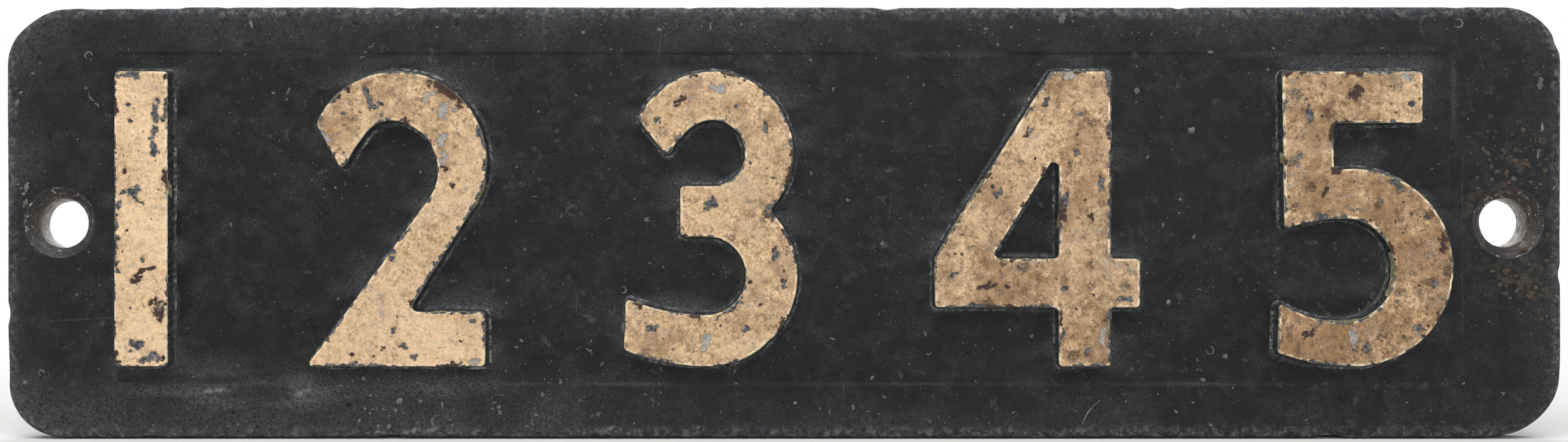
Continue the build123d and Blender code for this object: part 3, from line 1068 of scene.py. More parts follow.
def fill_front(shell, borders, sizes):
    """The plate's front: an even field of points, the panel's step and the witness lines."""
    spacing = sizes.point_spacing / MM
    half = PLATE_HIGH[[0, 2]] - sizes.side_draft / MM - sizes.edge_round / MM - 0.9
    places = even_grid(-half, half, spacing, 41)
    inset = rectangle_distance(places, 0.0, half, sizes.corner_radius / MM - 3.5)
    places = places[inset < -0.5 * spacing]
    places = within(places, shell.points[borders[0]][:, [0, 2]], 0.3 * spacing)
    for middle in HOLES:
        reach = np.linalg.norm(places - middle, axis=1)
        places = places[reach > sizes.mouth_radius / MM + 1.0 + 0.9]
    signed, _ = nearest(places, foot_outlines())
    hidden = (signed < -3.0) & (np.arange(len(places)) % 12 > 0)
    places = places[~hidden]
    middle, half = (PANEL_LOW + PANEL_HIGH) / 2, (PANEL_HIGH - PANEL_LOW) / 2
    lines = []
    for inward in (0.0, 0.35):
        step = rounded_rectangle(half - inward, 2.0 - inward) + middle
        step = even_points(step, spacing)
        lines.append(np.vstack([step, step[:1]]))
    gap = np.abs(rectangle_distance(places, middle, half - 0.17, 2.0))
    places = places[gap > 0.55]
    for low, high in WITNESS_LINES:
        low, high = np.array(low), np.array(high)
        side = np.array([high[1] - low[1], low[0] - high[0]]) / np.linalg.norm(high - low)
        count = int(np.linalg.norm(high - low) / spacing)
        run = low + np.linspace(0, 1, count)[:, None] * (high - low)
        lines.extend(run + side * offset for offset in (-0.45, 0.0, 0.45))
    shell.cap(borders, front_surface, places, lines)


def fill_back(shell, borders, sizes):
    """The plate's back: flat as cast, with the grain of the sand."""
    half = PLATE_HIGH[[0, 2]] - 1.1
    spacing = sizes.back_spacing / MM
    places = even_grid(-half, half, spacing, 43)
    places = places[rectangle_distance(places, 0.0, half, sizes.corner_radius / MM - 1.1) < -0.4 * spacing]
    for middle in HOLES:
        places = places[np.linalg.norm(places - middle, axis=1) > HOLE_RADIUS + 0.4 + 0.5 * spacing]
    shell.cap(borders, back_surface, places, finish=2)


def back_surface(places):
    """The height of the plate's back, as a y in millimetres: never outside the CAD plate."""
    hollow = 0.5 + 0.5 * flat_noise(places, 30.0, 51, 3) / 1.75
    return PLATE_HIGH[1] - 0.35 * hollow


def front_dust(places, heights):
    """How dusty the front is: a thin line at the numerals' feet, a haze above and beside them."""
    loops = foot_outlines(0.9)
    signed, found = nearest(places, loops)
    above = np.vstack([outward_of(loop) for loop in loops])[found]
    facing = 0.5 + 0.5 * np.clip(above[:, 1] + 0.5 * np.abs(above[:, 0]), -1, 1)
    foot = np.exp(-((signed / 0.55) ** 2)) * smooth_step(flat_noise(places, 9.0, 61, 2), -0.35, 0.7)
    haze = np.exp(-np.maximum(signed, 0) / 4.5) * facing
    haze *= smooth_step(flat_noise(places * (0.6, 1.4), 11.0, 63, 3), -0.35, 0.7)
    smear = np.exp(-(((places[:, 0] + 208) / 44) ** 2 + ((places[:, 1] + 65) / 9) ** 2))
    smear += 0.6 * np.exp(-(((places[:, 0] + 128) / 24) ** 2 + ((places[:, 1] + 63) / 6) ** 2))
    smear *= 0.25 + smooth_step(flat_noise(places * (0.25, 1.0), 5.0, 65, 3), -0.6, 0.6)
    inset = -rectangle_distance(places, 0.0, PLATE_HIGH[[0, 2]], 22.0)
    border = smooth_step(inset, 24.0, 2.0) * (0.23 - 0.08 * places[:, 0] / 300)
    border *= 0.4 + 1.2 * smooth_step(flat_noise(places, 22.0, 69, 2), -0.6, 0.8)
    low_left = smooth_step(places[:, 0], 20.0, -120.0) * smooth_step(places[:, 1], -52.0, -64.0)
    border += 0.14 * low_left
    middle, half = (PANEL_LOW + PANEL_HIGH) / 2, (PANEL_HIGH - PANEL_LOW) / 2
    step = np.exp(-((rectangle_distance(places, middle, half - 0.3, 2.0) / 0.8) ** 2))
    step *= smooth_step(flat_noise(places, 26.0, 67, 2), -0.1, 0.8)
    ridge = witness_lines(places)
    dust = np.maximum.reduce([foot * 0.95, haze * 0.85, smear * 0.95, step * 0.45, ridge * 0.4, border])
    return np.where(heights < PANEL_Y + 0.8, dust, 0.0)


def plate_values(points, sizes):
    """The wear that the paint reads at each point of the plate: dust, edge and rust."""
    places = points[:, [0, 2]]
    dust = front_dust(places, points[:, 1])
    half = PLATE_HIGH[[0, 2]] - sizes.side_draft / MM
    inset = -rectangle_distance(places, 0.0, half, sizes.corner_radius / MM)
    edge = 1 - smooth_step(inset, 0.5, 6.0)
    reach = np.linalg.norm(places - HOLES[1], axis=1)
    rust = np.exp(-(((reach - 13.0) / 7.0) ** 2)) * 0.6
    for x, z, radius in ((282.0, 24.0, 8.0), (290.0, 30.0, 6.0), (281.0, -22.0, 9.0), (289.0, -29.0, 8.0)):
        rust = np.maximum(rust, np.exp(-((np.linalg.norm(places - (x, z), axis=1) / radius) ** 2)))
    reach = np.linalg.norm(places - HOLES[0], axis=1)
    rust = np.maximum(rust, 0.15 * np.exp(-(((reach - 13.4) / 2.0) ** 2)))
    return {"dust": dust, "edge": edge, "rust": rust}


# Chips in the numerals' paint that are given one by one: x and z from the numeral's lower left corner,
# half length, half width, the angle they run at, and what shows in them from 0, the undercoat,
# through 0.5, maroon iron, to 1, pale primer
CHIPS = {
    "numeral_one": (
        (5, 111, 4.2, 1.1, 0, 0.1), (15.6, 97, 4.6, 1.2, 86, 0.1), (15.2, 88, 2.8, 1.2, 80, 0.0),
        (15.9, 82.3, 2.2, 1.5, 100, 0.0), (7.4, 67, 2.6, 1.7, 20, 0.1), (4.2, 66.4, 1.2, 0.9, 0, 0.0),
        (10.2, 63, 2.4, 0.6, -20, 0.1), (12.4, 37.4, 4.0, 0.9, 12, 0.5), (9.2, 33.6, 2.0, 1.0, 5, 0.5),
        (17.4, 22, 4.0, 2.6, 84, 0.5), (8.2, 8.6, 3.0, 1.9, 10, 0.2), (14.2, 3.6, 3.4, 1.3, 0, 0.1),
        (0.9, 55, 4.0, 0.9, 90, 0.1), (0.9, 47, 3.0, 1.1, 90, 0.0), (19.6, 71, 1.6, 0.9, 90, 0.5),
    ),
    "numeral_two": (
        (53, 105.6, 8.0, 2.3, -33, 0.5), (51.5, 98.0, 2.9, 2.3, 60, 1.0), (45.7, 103.6, 2.2, 1.2, 15, 0.9),
        (51.6, 87.3, 2.8, 1.6, 80, 1.0), (52.2, 80.3, 2.4, 1.3, 85, 1.0), (23.6, 102, 4.0, 1.6, -66, 0.1),
        (27.8, 100.4, 1.0, 0.9, 0, 0.0), (14, 96.6, 1.5, 0.7, 10, 0.1), (7.6, 87.6, 1.7, 1.0, -50, 1.0),
        (11, 88.4, 0.9, 0.8, 0, 1.0), (15.6, 106, 1.2, 0.9, 30, 0.5), (12, 103, 1.6, 0.8, 40, 0.5),
        (9.7, 101, 1.4, 0.8, 45, 0.1), (52, 76.2, 1.3, 0.9, 10, 0.5), (47.4, 67.6, 1.3, 0.7, 60, 0.0),
        (26.2, 36.4, 1.2, 0.9, 50, 0.1), (22.2, 31.2, 1.2, 0.9, 50, 0.1), (36.2, 8.2, 1.3, 1.0, 0, 0.1),
        (33, 14, 1.0, 0.9, 90, 0.1), (28.8, 7.4, 0.8, 0.7, 0, 0.5), (40.4, 3.8, 1.6, 1.1, 30, 0.2),
        (62.6, 2.2, 2.5, 1.0, 0, 0.9), (62.4, 18, 1.1, 0.8, 20, 0.2), (58.6, 10, 0.9, 0.9, 0, 0.5),
    ),
    "numeral_three": (
        (36, 105.5, 2.4, 1.3, 10, 0.9), (21, 101.4, 3.4, 0.9, 32, 0.5), (54.4, 91, 2.0, 1.2, 105, 0.1),
        (57.4, 72, 1.1, 0.8, 0, 0.0), (34, 62.4, 3.2, 1.9, 8, 0.2), (58, 43, 2.4, 1.1, 85, 0.0),
        (61.4, 32, 1.7, 1.0, 80, 0.0), (47, 14.6, 1.7, 1.0, 30, 0.0), (31, 9.6, 3.4, 1.6, 88, 0.9),
        (11.6, 15, 2.2, 1.0, 0, 0.0), (6.4, 23, 1.2, 0.8, 20, 0.5), (62.6, 50, 2.8, 0.9, 112, 0.5),
        (43, 99, 1.0, 0.8, 0, 0.0), (13, 94, 1.4, 1.0, 60, 0.2), (52, 24, 0.9, 0.8, 0, 0.5),
        (26, 19.5, 1.4, 0.8, 10, 0.1),
    ),
    "numeral_four": (
        (52, 110.6, 2.6, 1.1, 0, 0.9), (56.4, 96, 1.0, 0.9, 0, 0.0), (63.4, 70, 2.6, 0.8, 88, 0.0),
        (49.8, 64, 2.4, 1.2, 85, 0.1), (60, 57, 1.1, 1.0, 0, 0.5), (64, 12.4, 4.4, 1.3, 88, 0.9),
        (58, 6, 1.6, 1.0, 70, 0.0), (50.4, 30, 1.5, 0.9, 20, 0.0), (20, 31, 3.0, 1.0, 4, 0.5),
        (8, 36, 1.2, 0.9, 0, 0.0), (24.4, 66.4, 2.6, 0.9, 57, 0.1), (36, 89, 2.0, 0.9, 58, 0.5),
        (73, 26, 2.3, 1.0, 0, 0.2), (33, 37, 1.1, 0.8, 0, 0.1), (43, 101, 1.4, 1.0, 70, 0.2),
        (54, 82, 1.6, 0.8, 88, 0.1), (66.4, 89, 2.8, 0.7, 90, 0.5),
    ),
    "numeral_five": (
        (30, 104, 3.2, 2.5, 20, 0.5), (24.4, 108, 0.8, 0.7, 0, 0.0), (49, 110.4, 2.8, 1.1, 0, 0.9),
        (51.4, 100, 1.6, 0.9, 30, 0.2), (12.4, 97, 2.8, 1.2, 88, 0.1), (8.4, 80, 1.3, 1.0, 0, 0.0),
        (18, 66.4, 1.8, 0.8, 60, 0.5), (46, 69.4, 2.8, 1.2, -35, 0.0), (63.4, 48, 3.4, 1.1, 104, 0.5),
        (60, 31, 1.6, 1.0, 80, 0.0), (53, 15, 2.0, 1.2, 40, 0.2), (29, 11, 3.8, 1.9, 84, 1.0),
        (34.4, 6.4, 2.0, 1.2, 88, 0.0), (12, 12.4, 2.4, 1.0, 8, 0.5), (3, 62, 3.0, 1.0, 88, 0.0),
        (40, 63, 1.0, 0.8, 0, 0.0), (57, 57, 1.2, 0.8, -40, 0.2),
    ),
}

# How brown the cream is at the top and at the bottom of each numeral
STAINS = {
    "numeral_one": (0.15, 0.05),
    "numeral_two": (1.1, 0.2),
    "numeral_three": (0.85, 0.75),
    "numeral_four": (1.1, 1.35),
    "numeral_five": (1.1, 2.5),
}


def shattered(chip, chance):
    """One chip as the group of smaller ones that old paint breaks away in."""
    x, z, length, width, turn, shows = chip
    c, s = math.cos(math.radians(turn)), math.sin(math.radians(turn))
    whole = 0.85 if width > 2.2 else 0.58
    group = [(x, z, length * whole, width * whole, turn, shows)]
    for _ in range(2 + int(2.2 * length)):
        along, across = chance.uniform(-1.0, 1.0) * length, chance.normal(0.0, 0.6) * width
        size = chance.uniform(0.25, 0.75)
        group.append(
            (
                x + along * c - across * s,
                z + along * s + across * c,
                size * min(length, 2.0),
                size * min(width, 1.4),
                turn + chance.normal(0.0, 30.0),
                shows,
            )
        )
    return group


def all_chips(node, loops):
    """The chips of one numeral: those given one by one, small ones by chance, and ones along the edges."""
    low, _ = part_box(node)
    corner = np.array([low.x, low.z]) / MM + bpy.context.scene.numeral_settings.foot_fillet / MM
    chance = np.random.default_rng(100 + NUMERALS.index(node))
    chips = []
    for x, z, *rest in CHIPS[node]:
        chips.extend(shattered((corner[0] + x, corner[1] + z, *rest), chance))
    for loop in loops:
        outward = outward_of(loop)
        for at in chance.choice(len(loop), len(loop) // 38, replace=False):
            turn = math.degrees(math.atan2(outward[at][0], -outward[at][1])) + chance.normal(0, 8)
            length = 0.8 + 4.2 * chance.random() ** 3
            width = 0.5 + 0.9 * chance.random() ** 2
            chips.extend(shattered((*loop[at], length, width, turn, chance.choice((0.0, 0.2, 0.5, 0.5))), chance))
    low, high = loops[0].min(0), loops[0].max(0)
    for place in chance.uniform(low, high, (36, 2)):
        size = 0.2 + 0.6 * chance.random() ** 3
        chips.append((*place, size * 1.4, size, chance.uniform(0, 180), chance.choice((0.0, 0.3, 0.5, 0.5))))
    return chips


def chip_values(places, chips):
    """The chip field, 1 in a chip's middle and 0 at its edge, and what shows in the nearest chip."""
    field = np.full(len(places), -1.0)
    kind = np.zeros(len(places))
    for x, z, length, width, turn, shows in chips:
        gap = places - (x, z)
        near = np.abs(gap).max(axis=1) < 2.2 * max(length, width)
        c, s = math.cos(math.radians(turn)), math.sin(math.radians(turn))
        along = (gap[near, 0] * c + gap[near, 1] * s) / length
        across = (gap[near, 1] * c - gap[near, 0] * s) / width
        value = 1 - np.hypot(along, across)
        better = value > field[near]
        rows = np.where(near)[0][better]
        field[rows] = value[better]
        kind[rows] = shows
    return np.maximum(field, -1.0), kind


def wall_profile(sizes):
    """A numeral's side from below its foot to its face: the height and how far outside the face."""
    fillet, round_radius, inset = sizes.foot_fillet / MM, sizes.face_round / MM, sizes.wall_inset / MM
    wall_foot = round_radius + inset
    rings = [(-0.45, wall_foot + fillet + 0.1), (-0.05, wall_foot + fillet)]
    for turn in np.radians((25, 50, 75, 90)):
        rings.append((fillet * (1 - math.cos(turn)), wall_foot + fillet * (1 - math.sin(turn))))
    top = RELIEF - round_radius
    for share in (0.22, 0.44, 0.66, 0.84, 1.0):
        rings.append((fillet + (top - fillet) * share, wall_foot - inset * share))
    for turn in np.radians((25, 50, 72, 90)):
        rings.append((top + round_radius * math.sin(turn), round_radius * math.cos(turn)))
    return rings


def numeral_shell(node, sizes):
    """One numeral's points and faces, and the outlines and chips that its paint goes by."""
    spacing = sizes.point_spacing / MM
    loops = [even_points(loop, spacing * 0.85, 2) for loop in face_loops(node)]
    chips = all_chips(node, loops)
    shell = Shell()
    tops, feet = [], []
    for loop in loops:
        outward = outward_of(loop)
        rings = []
        for height, spread in wall_profile(sizes):
            share = smooth_step(np.array([height]), 0.35 * RELIEF, RELIEF)[0]
            bare = np.column_stack([loop[:, 0], np.full(len(loop), PANEL_Y - height), loop[:, 1]])
            nicks = np.maximum(noise(bare, 8.0, 81, 4) - 0.5, 0) * 1.3
            nicks = np.minimum(nicks, 1.0) * sizes.nick_depth / MM * share
            rough = noise(bare, 1.9, 83, 2) * 0.07
            places = loop + outward * (spread - nicks + rough)[:, None]
            rings.append(shell.add(np.column_stack([places[:, 0], bare[:, 1], places[:, 1]])))
        for lower, upper in zip(rings, rings[1:]):
            shell.band(lower, upper)
        feet.append(rings[0])
        tops.append(rings[-1])

    def face_surface(places):
        field, _ = chip_values(places, chips)
        wave = flat_noise(places, 18.0, 85, 2) * 0.05 + flat_noise(places, 2.2, 87, 2) * 0.03
        sunk = smooth_step(field, -0.12, 0.2) * sizes.paint_thickness / MM
        return FACE_Y + 0.1 + wave + sunk

    faces = [shell.points[ring][:, [0, 2]] for ring in tops]
    inner = even_grid(faces[0].min(0), faces[0].max(0), spacing, 89)
    signed, _ = nearest(inner, faces)
    shell.cap(tops, face_surface, inner[signed < -0.6 * spacing])
    shell.cap(feet, lambda places: np.full(len(places), PANEL_Y + 0.45), np.empty((0, 2)))
    return shell, faces, chips


def numeral_values(node, points, faces, chips):
    """What the paint reads at each point of a numeral: its chips, the way to the rim and its stain."""
    places = points[:, [0, 2]]
    field, kind = chip_values(places, chips)
    signed, found = nearest(places, faces)
    away = np.vstack([outward_of(loop) for loop in faces])[found]
    worn = 0.45 + 0.55 * np.clip(0.35 * away[:, 0] - 0.9 * away[:, 1], 0, 1)
    bottom, top = places[:, 1].min(), places[:, 1].max()
    share = (places[:, 1] - bottom) / (top - bottom)
    stain = STAINS[node][1] + (STAINS[node][0] - STAINS[node][1]) * share
    stain = np.maximum(stain + 0.3 * flat_noise(places, 17.0, 97, 2), 0.0)
    return {"chip": field, "chip_kind": kind, "rim": np.maximum(-signed, 0), "stain": stain, "worn": worn}


def scatter_base(share_of):
    """A coarse copy of the plate's front that carries the share of pieces wanted at each point."""
    low, high = PLATE_LOW[[0, 2]] + 4.5, PLATE_HIGH[[0, 2]] - 4.5
    columns = np.arange(low[0], high[0], 2.5)
    rows = np.arange(low[1], high[1], 2.5)
    x, z = np.meshgrid(columns, rows)
    places = np.column_stack([x.ravel(), z.ravel()])
    heights = front_surface(places)
    corners = np.arange(len(places)).reshape(x.shape)
    quads = np.stack([corners[:-1, :-1], corners[:-1, 1:], corners[1:, 1:], corners[1:, :-1]], axis=-1)
    mesh = bpy.data.meshes.new("front")
    points = np.column_stack([places[:, 0], heights, places[:, 1]]) * MM
    mesh.from_pydata(points.tolist(), [], quads.reshape(-1, 4).tolist())
    signed, _ = nearest(places, foot_outlines())
    clear = smooth_step(signed, 2.6, 3.0)
    corner = rectangle_distance(places, 0.0, PLATE_HIGH[[0, 2]] - 4.0, 18.0)
    clear *= 1 - smooth_step(corner, -1.0, -0.4)
    for middle in HOLES:
        clear *= smooth_step(np.linalg.norm(places - middle, axis=1), 17.0, 17.5)
    share = mesh.attributes.new("share", "FLOAT", "POINT")
    share.data.foreach_set("value", (clear * share_of(places)).astype(np.float32))
    base = bpy.data.objects.new("front", mesh)
    bpy.context.scene.collection.objects.link(base)
    return base


# Flakes given one by one: x and z of the middle, length, width, the angle they run at and how far
# they bend from end to end, in millimetres and degrees
GREY_FLAKES = (
    (-285.3, 60.8, 2.2, 1.0, 20, 0), (-288.0, 56.9, 2.2, 1.0, -10, 0), (-294.0, 45.8, 3.6, 1.4, 70, 0),
    (-292.6, 49.7, 1.9, 1.2, 30, 0), (-294.5, 42.0, 1.7, 1.0, -60, 0), (-290.2, 13.5, 4.3, 1.9, 78, 0),
    (-290.9, 7.2, 4.1, 1.9, 72, 0), (-291.6, 10.9, 1.7, 1.2, 20, 0), (-158.5, 67.1, 2.7, 1.4, 30, 0),
    (-160.4, 65.1, 1.9, 1.2, 10, 0), (-161.8, 63.2, 2.2, 1.0, 20, 0), (-157.3, 68.3, 1.2, 1.0, 0, 0),
    (-190.1, 50.2, 3.4, 1.4, 65, 0), (-190.8, 47.0, 1.9, 1.0, 40, 0), (-204.1, 75.7, 3.4, 1.2, -70, 0),
    (-207.2, 80.3, 4.1, 2.2, 0, 0), (-265.8, 48.0, 4.8, 0.7, -65, 80), (-263.4, 44.9, 3.1, 1.0, -40, -60),
    (-266.8, 64.2, 6.3, 0.7, 200, 250), (-172.0, 13.3, 1.4, 1.0, 0, 0), (-171.0, -29.4, 1.7, 1.0, 60, 0),
    (-155.8, -45.6, 1.9, 1.4, 20, 0), (-169.8, -62.5, 2.2, 1.2, 0, 0), (-284.6, -57.6, 5.3, 0.6, 200, 270),
    (-158.7, -55.7, 2.4, 0.7, 85, 0), (-145.0, -50.4, 1.9, 1.0, 70, 0), (-144.5, -55.7, 3.6, 1.2, -65, 0),
    (-147.6, -58.9, 1.2, 1.0, 0, 0), (-147.4, -68.5, 3.1, 2.9, 20, 0), (-149.1, -71.9, 2.7, 1.4, -50, 0),
    (-160.6, -71.4, 1.7, 1.2, 0, 0), (-158.7, -73.1, 1.0, 1.4, 0, 0), (-157.5, -71.6, 1.2, 0.7, 10, 0),
    (-152.9, -72.1, 1.2, 0.7, 0, 0), (-162.8, -76.0, 1.9, 1.4, 80, 0), (-155.6, -78.1, 1.7, 1.2, 10, 0),
    (-151.5, -78.4, 2.9, 1.2, 50, 0), (-145.7, -73.3, 1.2, 1.0, 0, 0), (-141.6, -75.3, 2.2, 0.7, -60, 0),
    (-140.4, -76.7, 1.7, 1.0, 20, 0), (-150.0, -76.5, 1.0, 0.7, 0, 0), (-148.1, -75.3, 1.0, 0.7, 60, 0),
    (-131.0, -70.4, 3.9, 1.0, 88, 0), (-128.1, -75.7, 1.0, 0.7, 0, 0), (-133.9, -76.2, 8.2, 1.1, 90, -190),
    (-159.9, -81.0, 2.9, 1.7, 0, 0), (-154.8, -80.6, 4.8, 1.9, 0, 0), (-148.8, -80.8, 1.7, 1.4, 0, 0),
    (-145.2, -80.6, 2.9, 1.7, 10, 0), (-141.8, -79.6, 3.4, 1.9, 60, 0), (-135.1, -79.8, 4.8, 2.2, 10, 0),
    (-131.9, -81.0, 2.2, 1.2, 0, 0), (-127.8, -80.8, 3.4, 1.7, -10, 0), (-119.9, -80.8, 2.2, 1.9, 20, 0),
    (-166.4, -81.3, 3.4, 1.7, 10, 0), (-139.2, -19.5, 2.4, 2.2, 0, 0), (-122.5, -6.5, 2.2, 1.2, 40, 0),
    (-118.7, -3.9, 2.2, 0.7, 80, 0), (-146.9, -12.5, 2.2, 1.4, 20, 0), (-143.0, -37.4, 1.9, 1.4, 10, 0),
    (-141.3, -36.4, 1.0, 0.7, 0, 0), (-42.9, 25.3, 3.9, 1.0, 68, 0), (-41.5, 29.2, 2.2, 0.7, 80, 0),
    (-37.9, 16.6, 1.4, 1.0, 0, 0), (-61.3, -26.0, 5.3, 0.7, 60, 240), (-60.1, -34.7, 3.1, 1.7, 10, 0),
    (-44.4, -32.1, 4.3, 1.0, 2, 20), (-54.8, -42.9, 4.1, 2.2, 28, 0), (-34.5, -48.7, 2.7, 1.4, 0, 0),
    (-31.6, -49.0, 2.7, 1.2, 0, 0), (-47.3, -56.2, 2.2, 0.7, -60, 0), (-33.0, -78.6, 2.2, 1.4, 20, 0),
    (-111.0, -69.0, 2.2, 1.2, 20, 0), (-109.3, -70.9, 1.9, 1.4, 60, 0), (-111.9, -71.4, 1.4, 1.0, 0, 0),
    (-66.6, -78.9, 3.1, 1.9, 20, 0), (-64.2, -80.6, 1.9, 1.4, 0, 0), (-68.5, -80.1, 1.7, 1.2, 50, 0),
    (-47.8, 73.8, 2.7, 1.4, 0, 0), (-28.2, 75.0, 3.6, 0.7, 88, 0), (-159.2, 80.1, 3.1, 1.7, 0, 0),
    (-148.3, 80.1, 3.6, 1.9, 5, 0), (-152.4, 81.5, 2.2, 1.0, 0, 0), (-143.5, 80.8, 1.7, 1.0, 0, 0),
    (-17.4, 56.9, 2.7, 1.4, 10, 0), (-10.9, 43.2, 1.9, 1.2, 20, 0), (84.4, 41.0, 1.4, 1.2, 0, 0),
    (87.1, 74.8, 1.4, 1.2, 0, 0), (106.6, 78.1, 4.8, 3.1, 60, 0), (67.5, 16.4, 1.2, 1.0, 0, 0),
    (73.3, 15.2, 1.2, 1.0, 0, 0), (69.9, 3.6, 2.2, 1.4, 80, 0), (64.6, -9.9, 1.7, 1.2, 0, 0),
    (79.1, -11.1, 2.4, 0.7, 60, 0), (77.7, -14.5, 1.0, 0.7, 0, 0), (84.9, -16.4, 1.9, 1.4, 20, 0),
    (66.8, -26.3, 8.2, 0.7, 55, 0), (96.2, -28.0, 2.9, 0.7, -65, 0), (97.0, -30.9, 2.2, 1.2, -30, 0),
    (98.9, -23.4, 1.0, 0.7, 0, 0), (90.2, -23.9, 2.2, 0.7, 88, 0), (145.4, -1.2, 2.2, 1.4, 80, 0),
    (147.4, -30.6, 2.4, 1.9, 70, 0), (151.5, 3.6, 1.2, 1.2, 0, 0), (139.2, -19.3, 1.2, 0.7, 0, 0),
    (109.5, -15.2, 1.0, 0.7, 0, 0), (4.3, -69.2, 1.9, 1.2, 0, 0), (13.7, -71.4, 1.4, 1.0, 88, 0),
    (26.5, -70.9, 2.7, 1.2, 88, 0), (17.6, -72.1, 1.7, 1.0, 10, 0), (32.3, -72.4, 1.0, 0.7, 0, 0),
    (36.4, -73.3, 1.0, 0.7, 0, 0), (55.7, -50.2, 3.4, 0.6, 0, 160), (54.0, -42.7, 2.9, 0.6, -60, -120),
    (117.2, -72.6, 12.5, 0.6, 55, -40), (152.0, 8.7, 1.7, 1.4, 0, 0), (156.3, 35.2, 3.4, 2.9, 40, 0),
    (258.8, 76.2, 8.2, 0.8, 80, 280), (289.9, 53.3, 5.3, 2.7, 86, 0), (163.5, 65.1, 2.9, 1.4, 0, 0),
    (163.5, -49.2, 8.2, 0.7, 30, 300), (193.9, 69.7, 1.0, 0.7, 0, 0), (191.8, 67.1, 0.7, 0.7, 0, 0),
    (223.3, -81.5, 1.7, 1.4, 0, 0), (290.6, 36.4, 3.6, 1.2, 86, 0), (289.0, 26.0, 3.9, 1.2, 84, 0),
    (282.2, 1.0, 1.2, 1.0, 0, 0), (156.8, -69.0, 1.4, 1.0, 0, 0), (260.5, -61.7, 1.4, 1.0, 30, 0),
    (238.8, -69.0, 1.2, 0.7, 0, 0), (200.2, -75.7, 1.2, 1.0, 0, 0), (295.0, 13.0, 1.7, 1.0, 88, 0),
)
RUST_FLAKES = (
    (280.3, 23.4, 2.7, 1.9, 10, 0), (285.3, 21.7, 3.4, 1.7, -30, 0), (283.2, 22.4, 2.2, 1.2, 10, 0),
    (277.1, 18.6, 3.6, 1.9, 86, 0), (277.9, 15.2, 2.2, 1.7, 60, 0), (286.3, -28.0, 3.9, 3.4, 84, 0),
    (284.9, -22.7, 2.2, 1.7, -30, 0), (282.9, -21.2, 2.2, 1.4, -20, 0), (280.8, -20.5, 2.2, 1.4, 20, 0),
    (276.9, -18.6, 3.4, 2.7, 0, 0), (274.5, -23.9, 2.7, 2.2, 30, 0), (292.3, -14.7, 2.7, 1.4, 20, 0),
    (283.4, -10.1, 3.4, 1.7, 20, 0), (288.5, 13.0, 1.9, 1.4, 0, 0), (278.6, 25.1, 1.4, 1.2, 0, 0),
    (289.7, -28.0, 1.4, 1.2, 0, 0),
)
DULL_FLAKES = (
    (273.3, 19.3, 2.9, 2.4, 30, 0), (271.3, 21.2, 2.7, 1.9, 70, 0), (279.8, 16.4, 2.7, 2.4, 0, 0),
    (271.3, 16.2, 2.2, 1.9, 0, 0), (266.0, 13.0, 1.9, 1.7, 0, 0), (263.4, 6.3, 1.9, 1.7, 20, 0),
    (280.8, -26.3, 2.2, 1.9, 0, 0), (271.6, -18.8, 2.2, 1.4, 0, 0), (269.2, 10.1, 1.7, 1.4, 0, 0),
    (286.3, 15.4, 1.9, 1.7, 30, 0), (289.2, 5.8, 1.9, 1.4, 70, 0), (278.3, -28.9, 1.9, 1.4, 0, 0),
    (265.8, 17.1, 1.4, 1.2, 0, 0),
)


def edge_surface(places):
    """The height of the plate's front with its round edge, as a y in millimetres."""
    sizes = bpy.context.scene.plate_settings
    inset = -rectangle_distance(places, 0.0, PLATE_HIGH[[0, 2]], sizes.corner_radius / MM)
    radius = sizes.edge_round / MM
    lean = np.clip(1 - (inset - 0.8) / radius, 0, 1)
    return front_surface(places) + radius * (1 - np.sqrt(1 - lean**2))


def flake_outline(flake, chance):
    """One flake's outline: out along one ragged side and back along the other."""
    x, z, length, width, turn, bend = flake
    share = np.linspace(0, 1, max(5, int(length / 0.5)))
    heading = np.radians(turn + bend * (share - 0.5))
    middle = np.cumsum(np.column_stack([np.cos(heading), np.sin(heading)]), axis=0) * length / len(share)
    middle += (x, z) - middle.mean(axis=0)
    across = np.column_stack([-np.sin(heading), np.cos(heading)])
    reach = width / 2 * np.sqrt(np.sin(math.pi * (0.06 + 0.88 * share)))
    left, right = (
        middle + across * (side * reach * chance.uniform(0.35, 1.25, len(share)))[:, None] for side in (1, -1)
    )
    return np.vstack([left, right[::-1]])


def flake_shell():
    """The flakes given one by one, as thin plates that lie on the front clear of the numerals."""
    shell = Shell()
    chance = np.random.default_rng(301)
    loops = foot_outlines()
    for finish, flakes in enumerate((GREY_FLAKES, RUST_FLAKES, DULL_FLAKES)):
        for flake in flakes:
            outline = flake_outline(flake, chance)
            outline[:, 1] = np.clip(outline[:, 1], -81.0, 81.0)
            signed, _ = nearest(outline, loops)
            if signed.min() < 0.3:
                continue
            heights = edge_surface(outline)
            rings = [
                shell.add(np.column_stack([outline[:, 0], heights + rise, outline[:, 1]])) for rise in (0.2, -0.13)
            ]
            shell.band(*rings, finish)
            for ring in rings:
                near, far = ring[: len(ring) // 2], ring[::-1][: len(ring) // 2]
                quads = np.column_stack([near[:-1], near[1:], far[1:], far[:-1]])
                shell.faces.extend(quads.tolist())
                shell.finishes.extend([finish] * len(quads))
    return shell


def painted(name, builder):
    """The material of that name, made once."""
    return bpy.data.materials.get(name) or builder(bpy.context.scene.plate_colours)


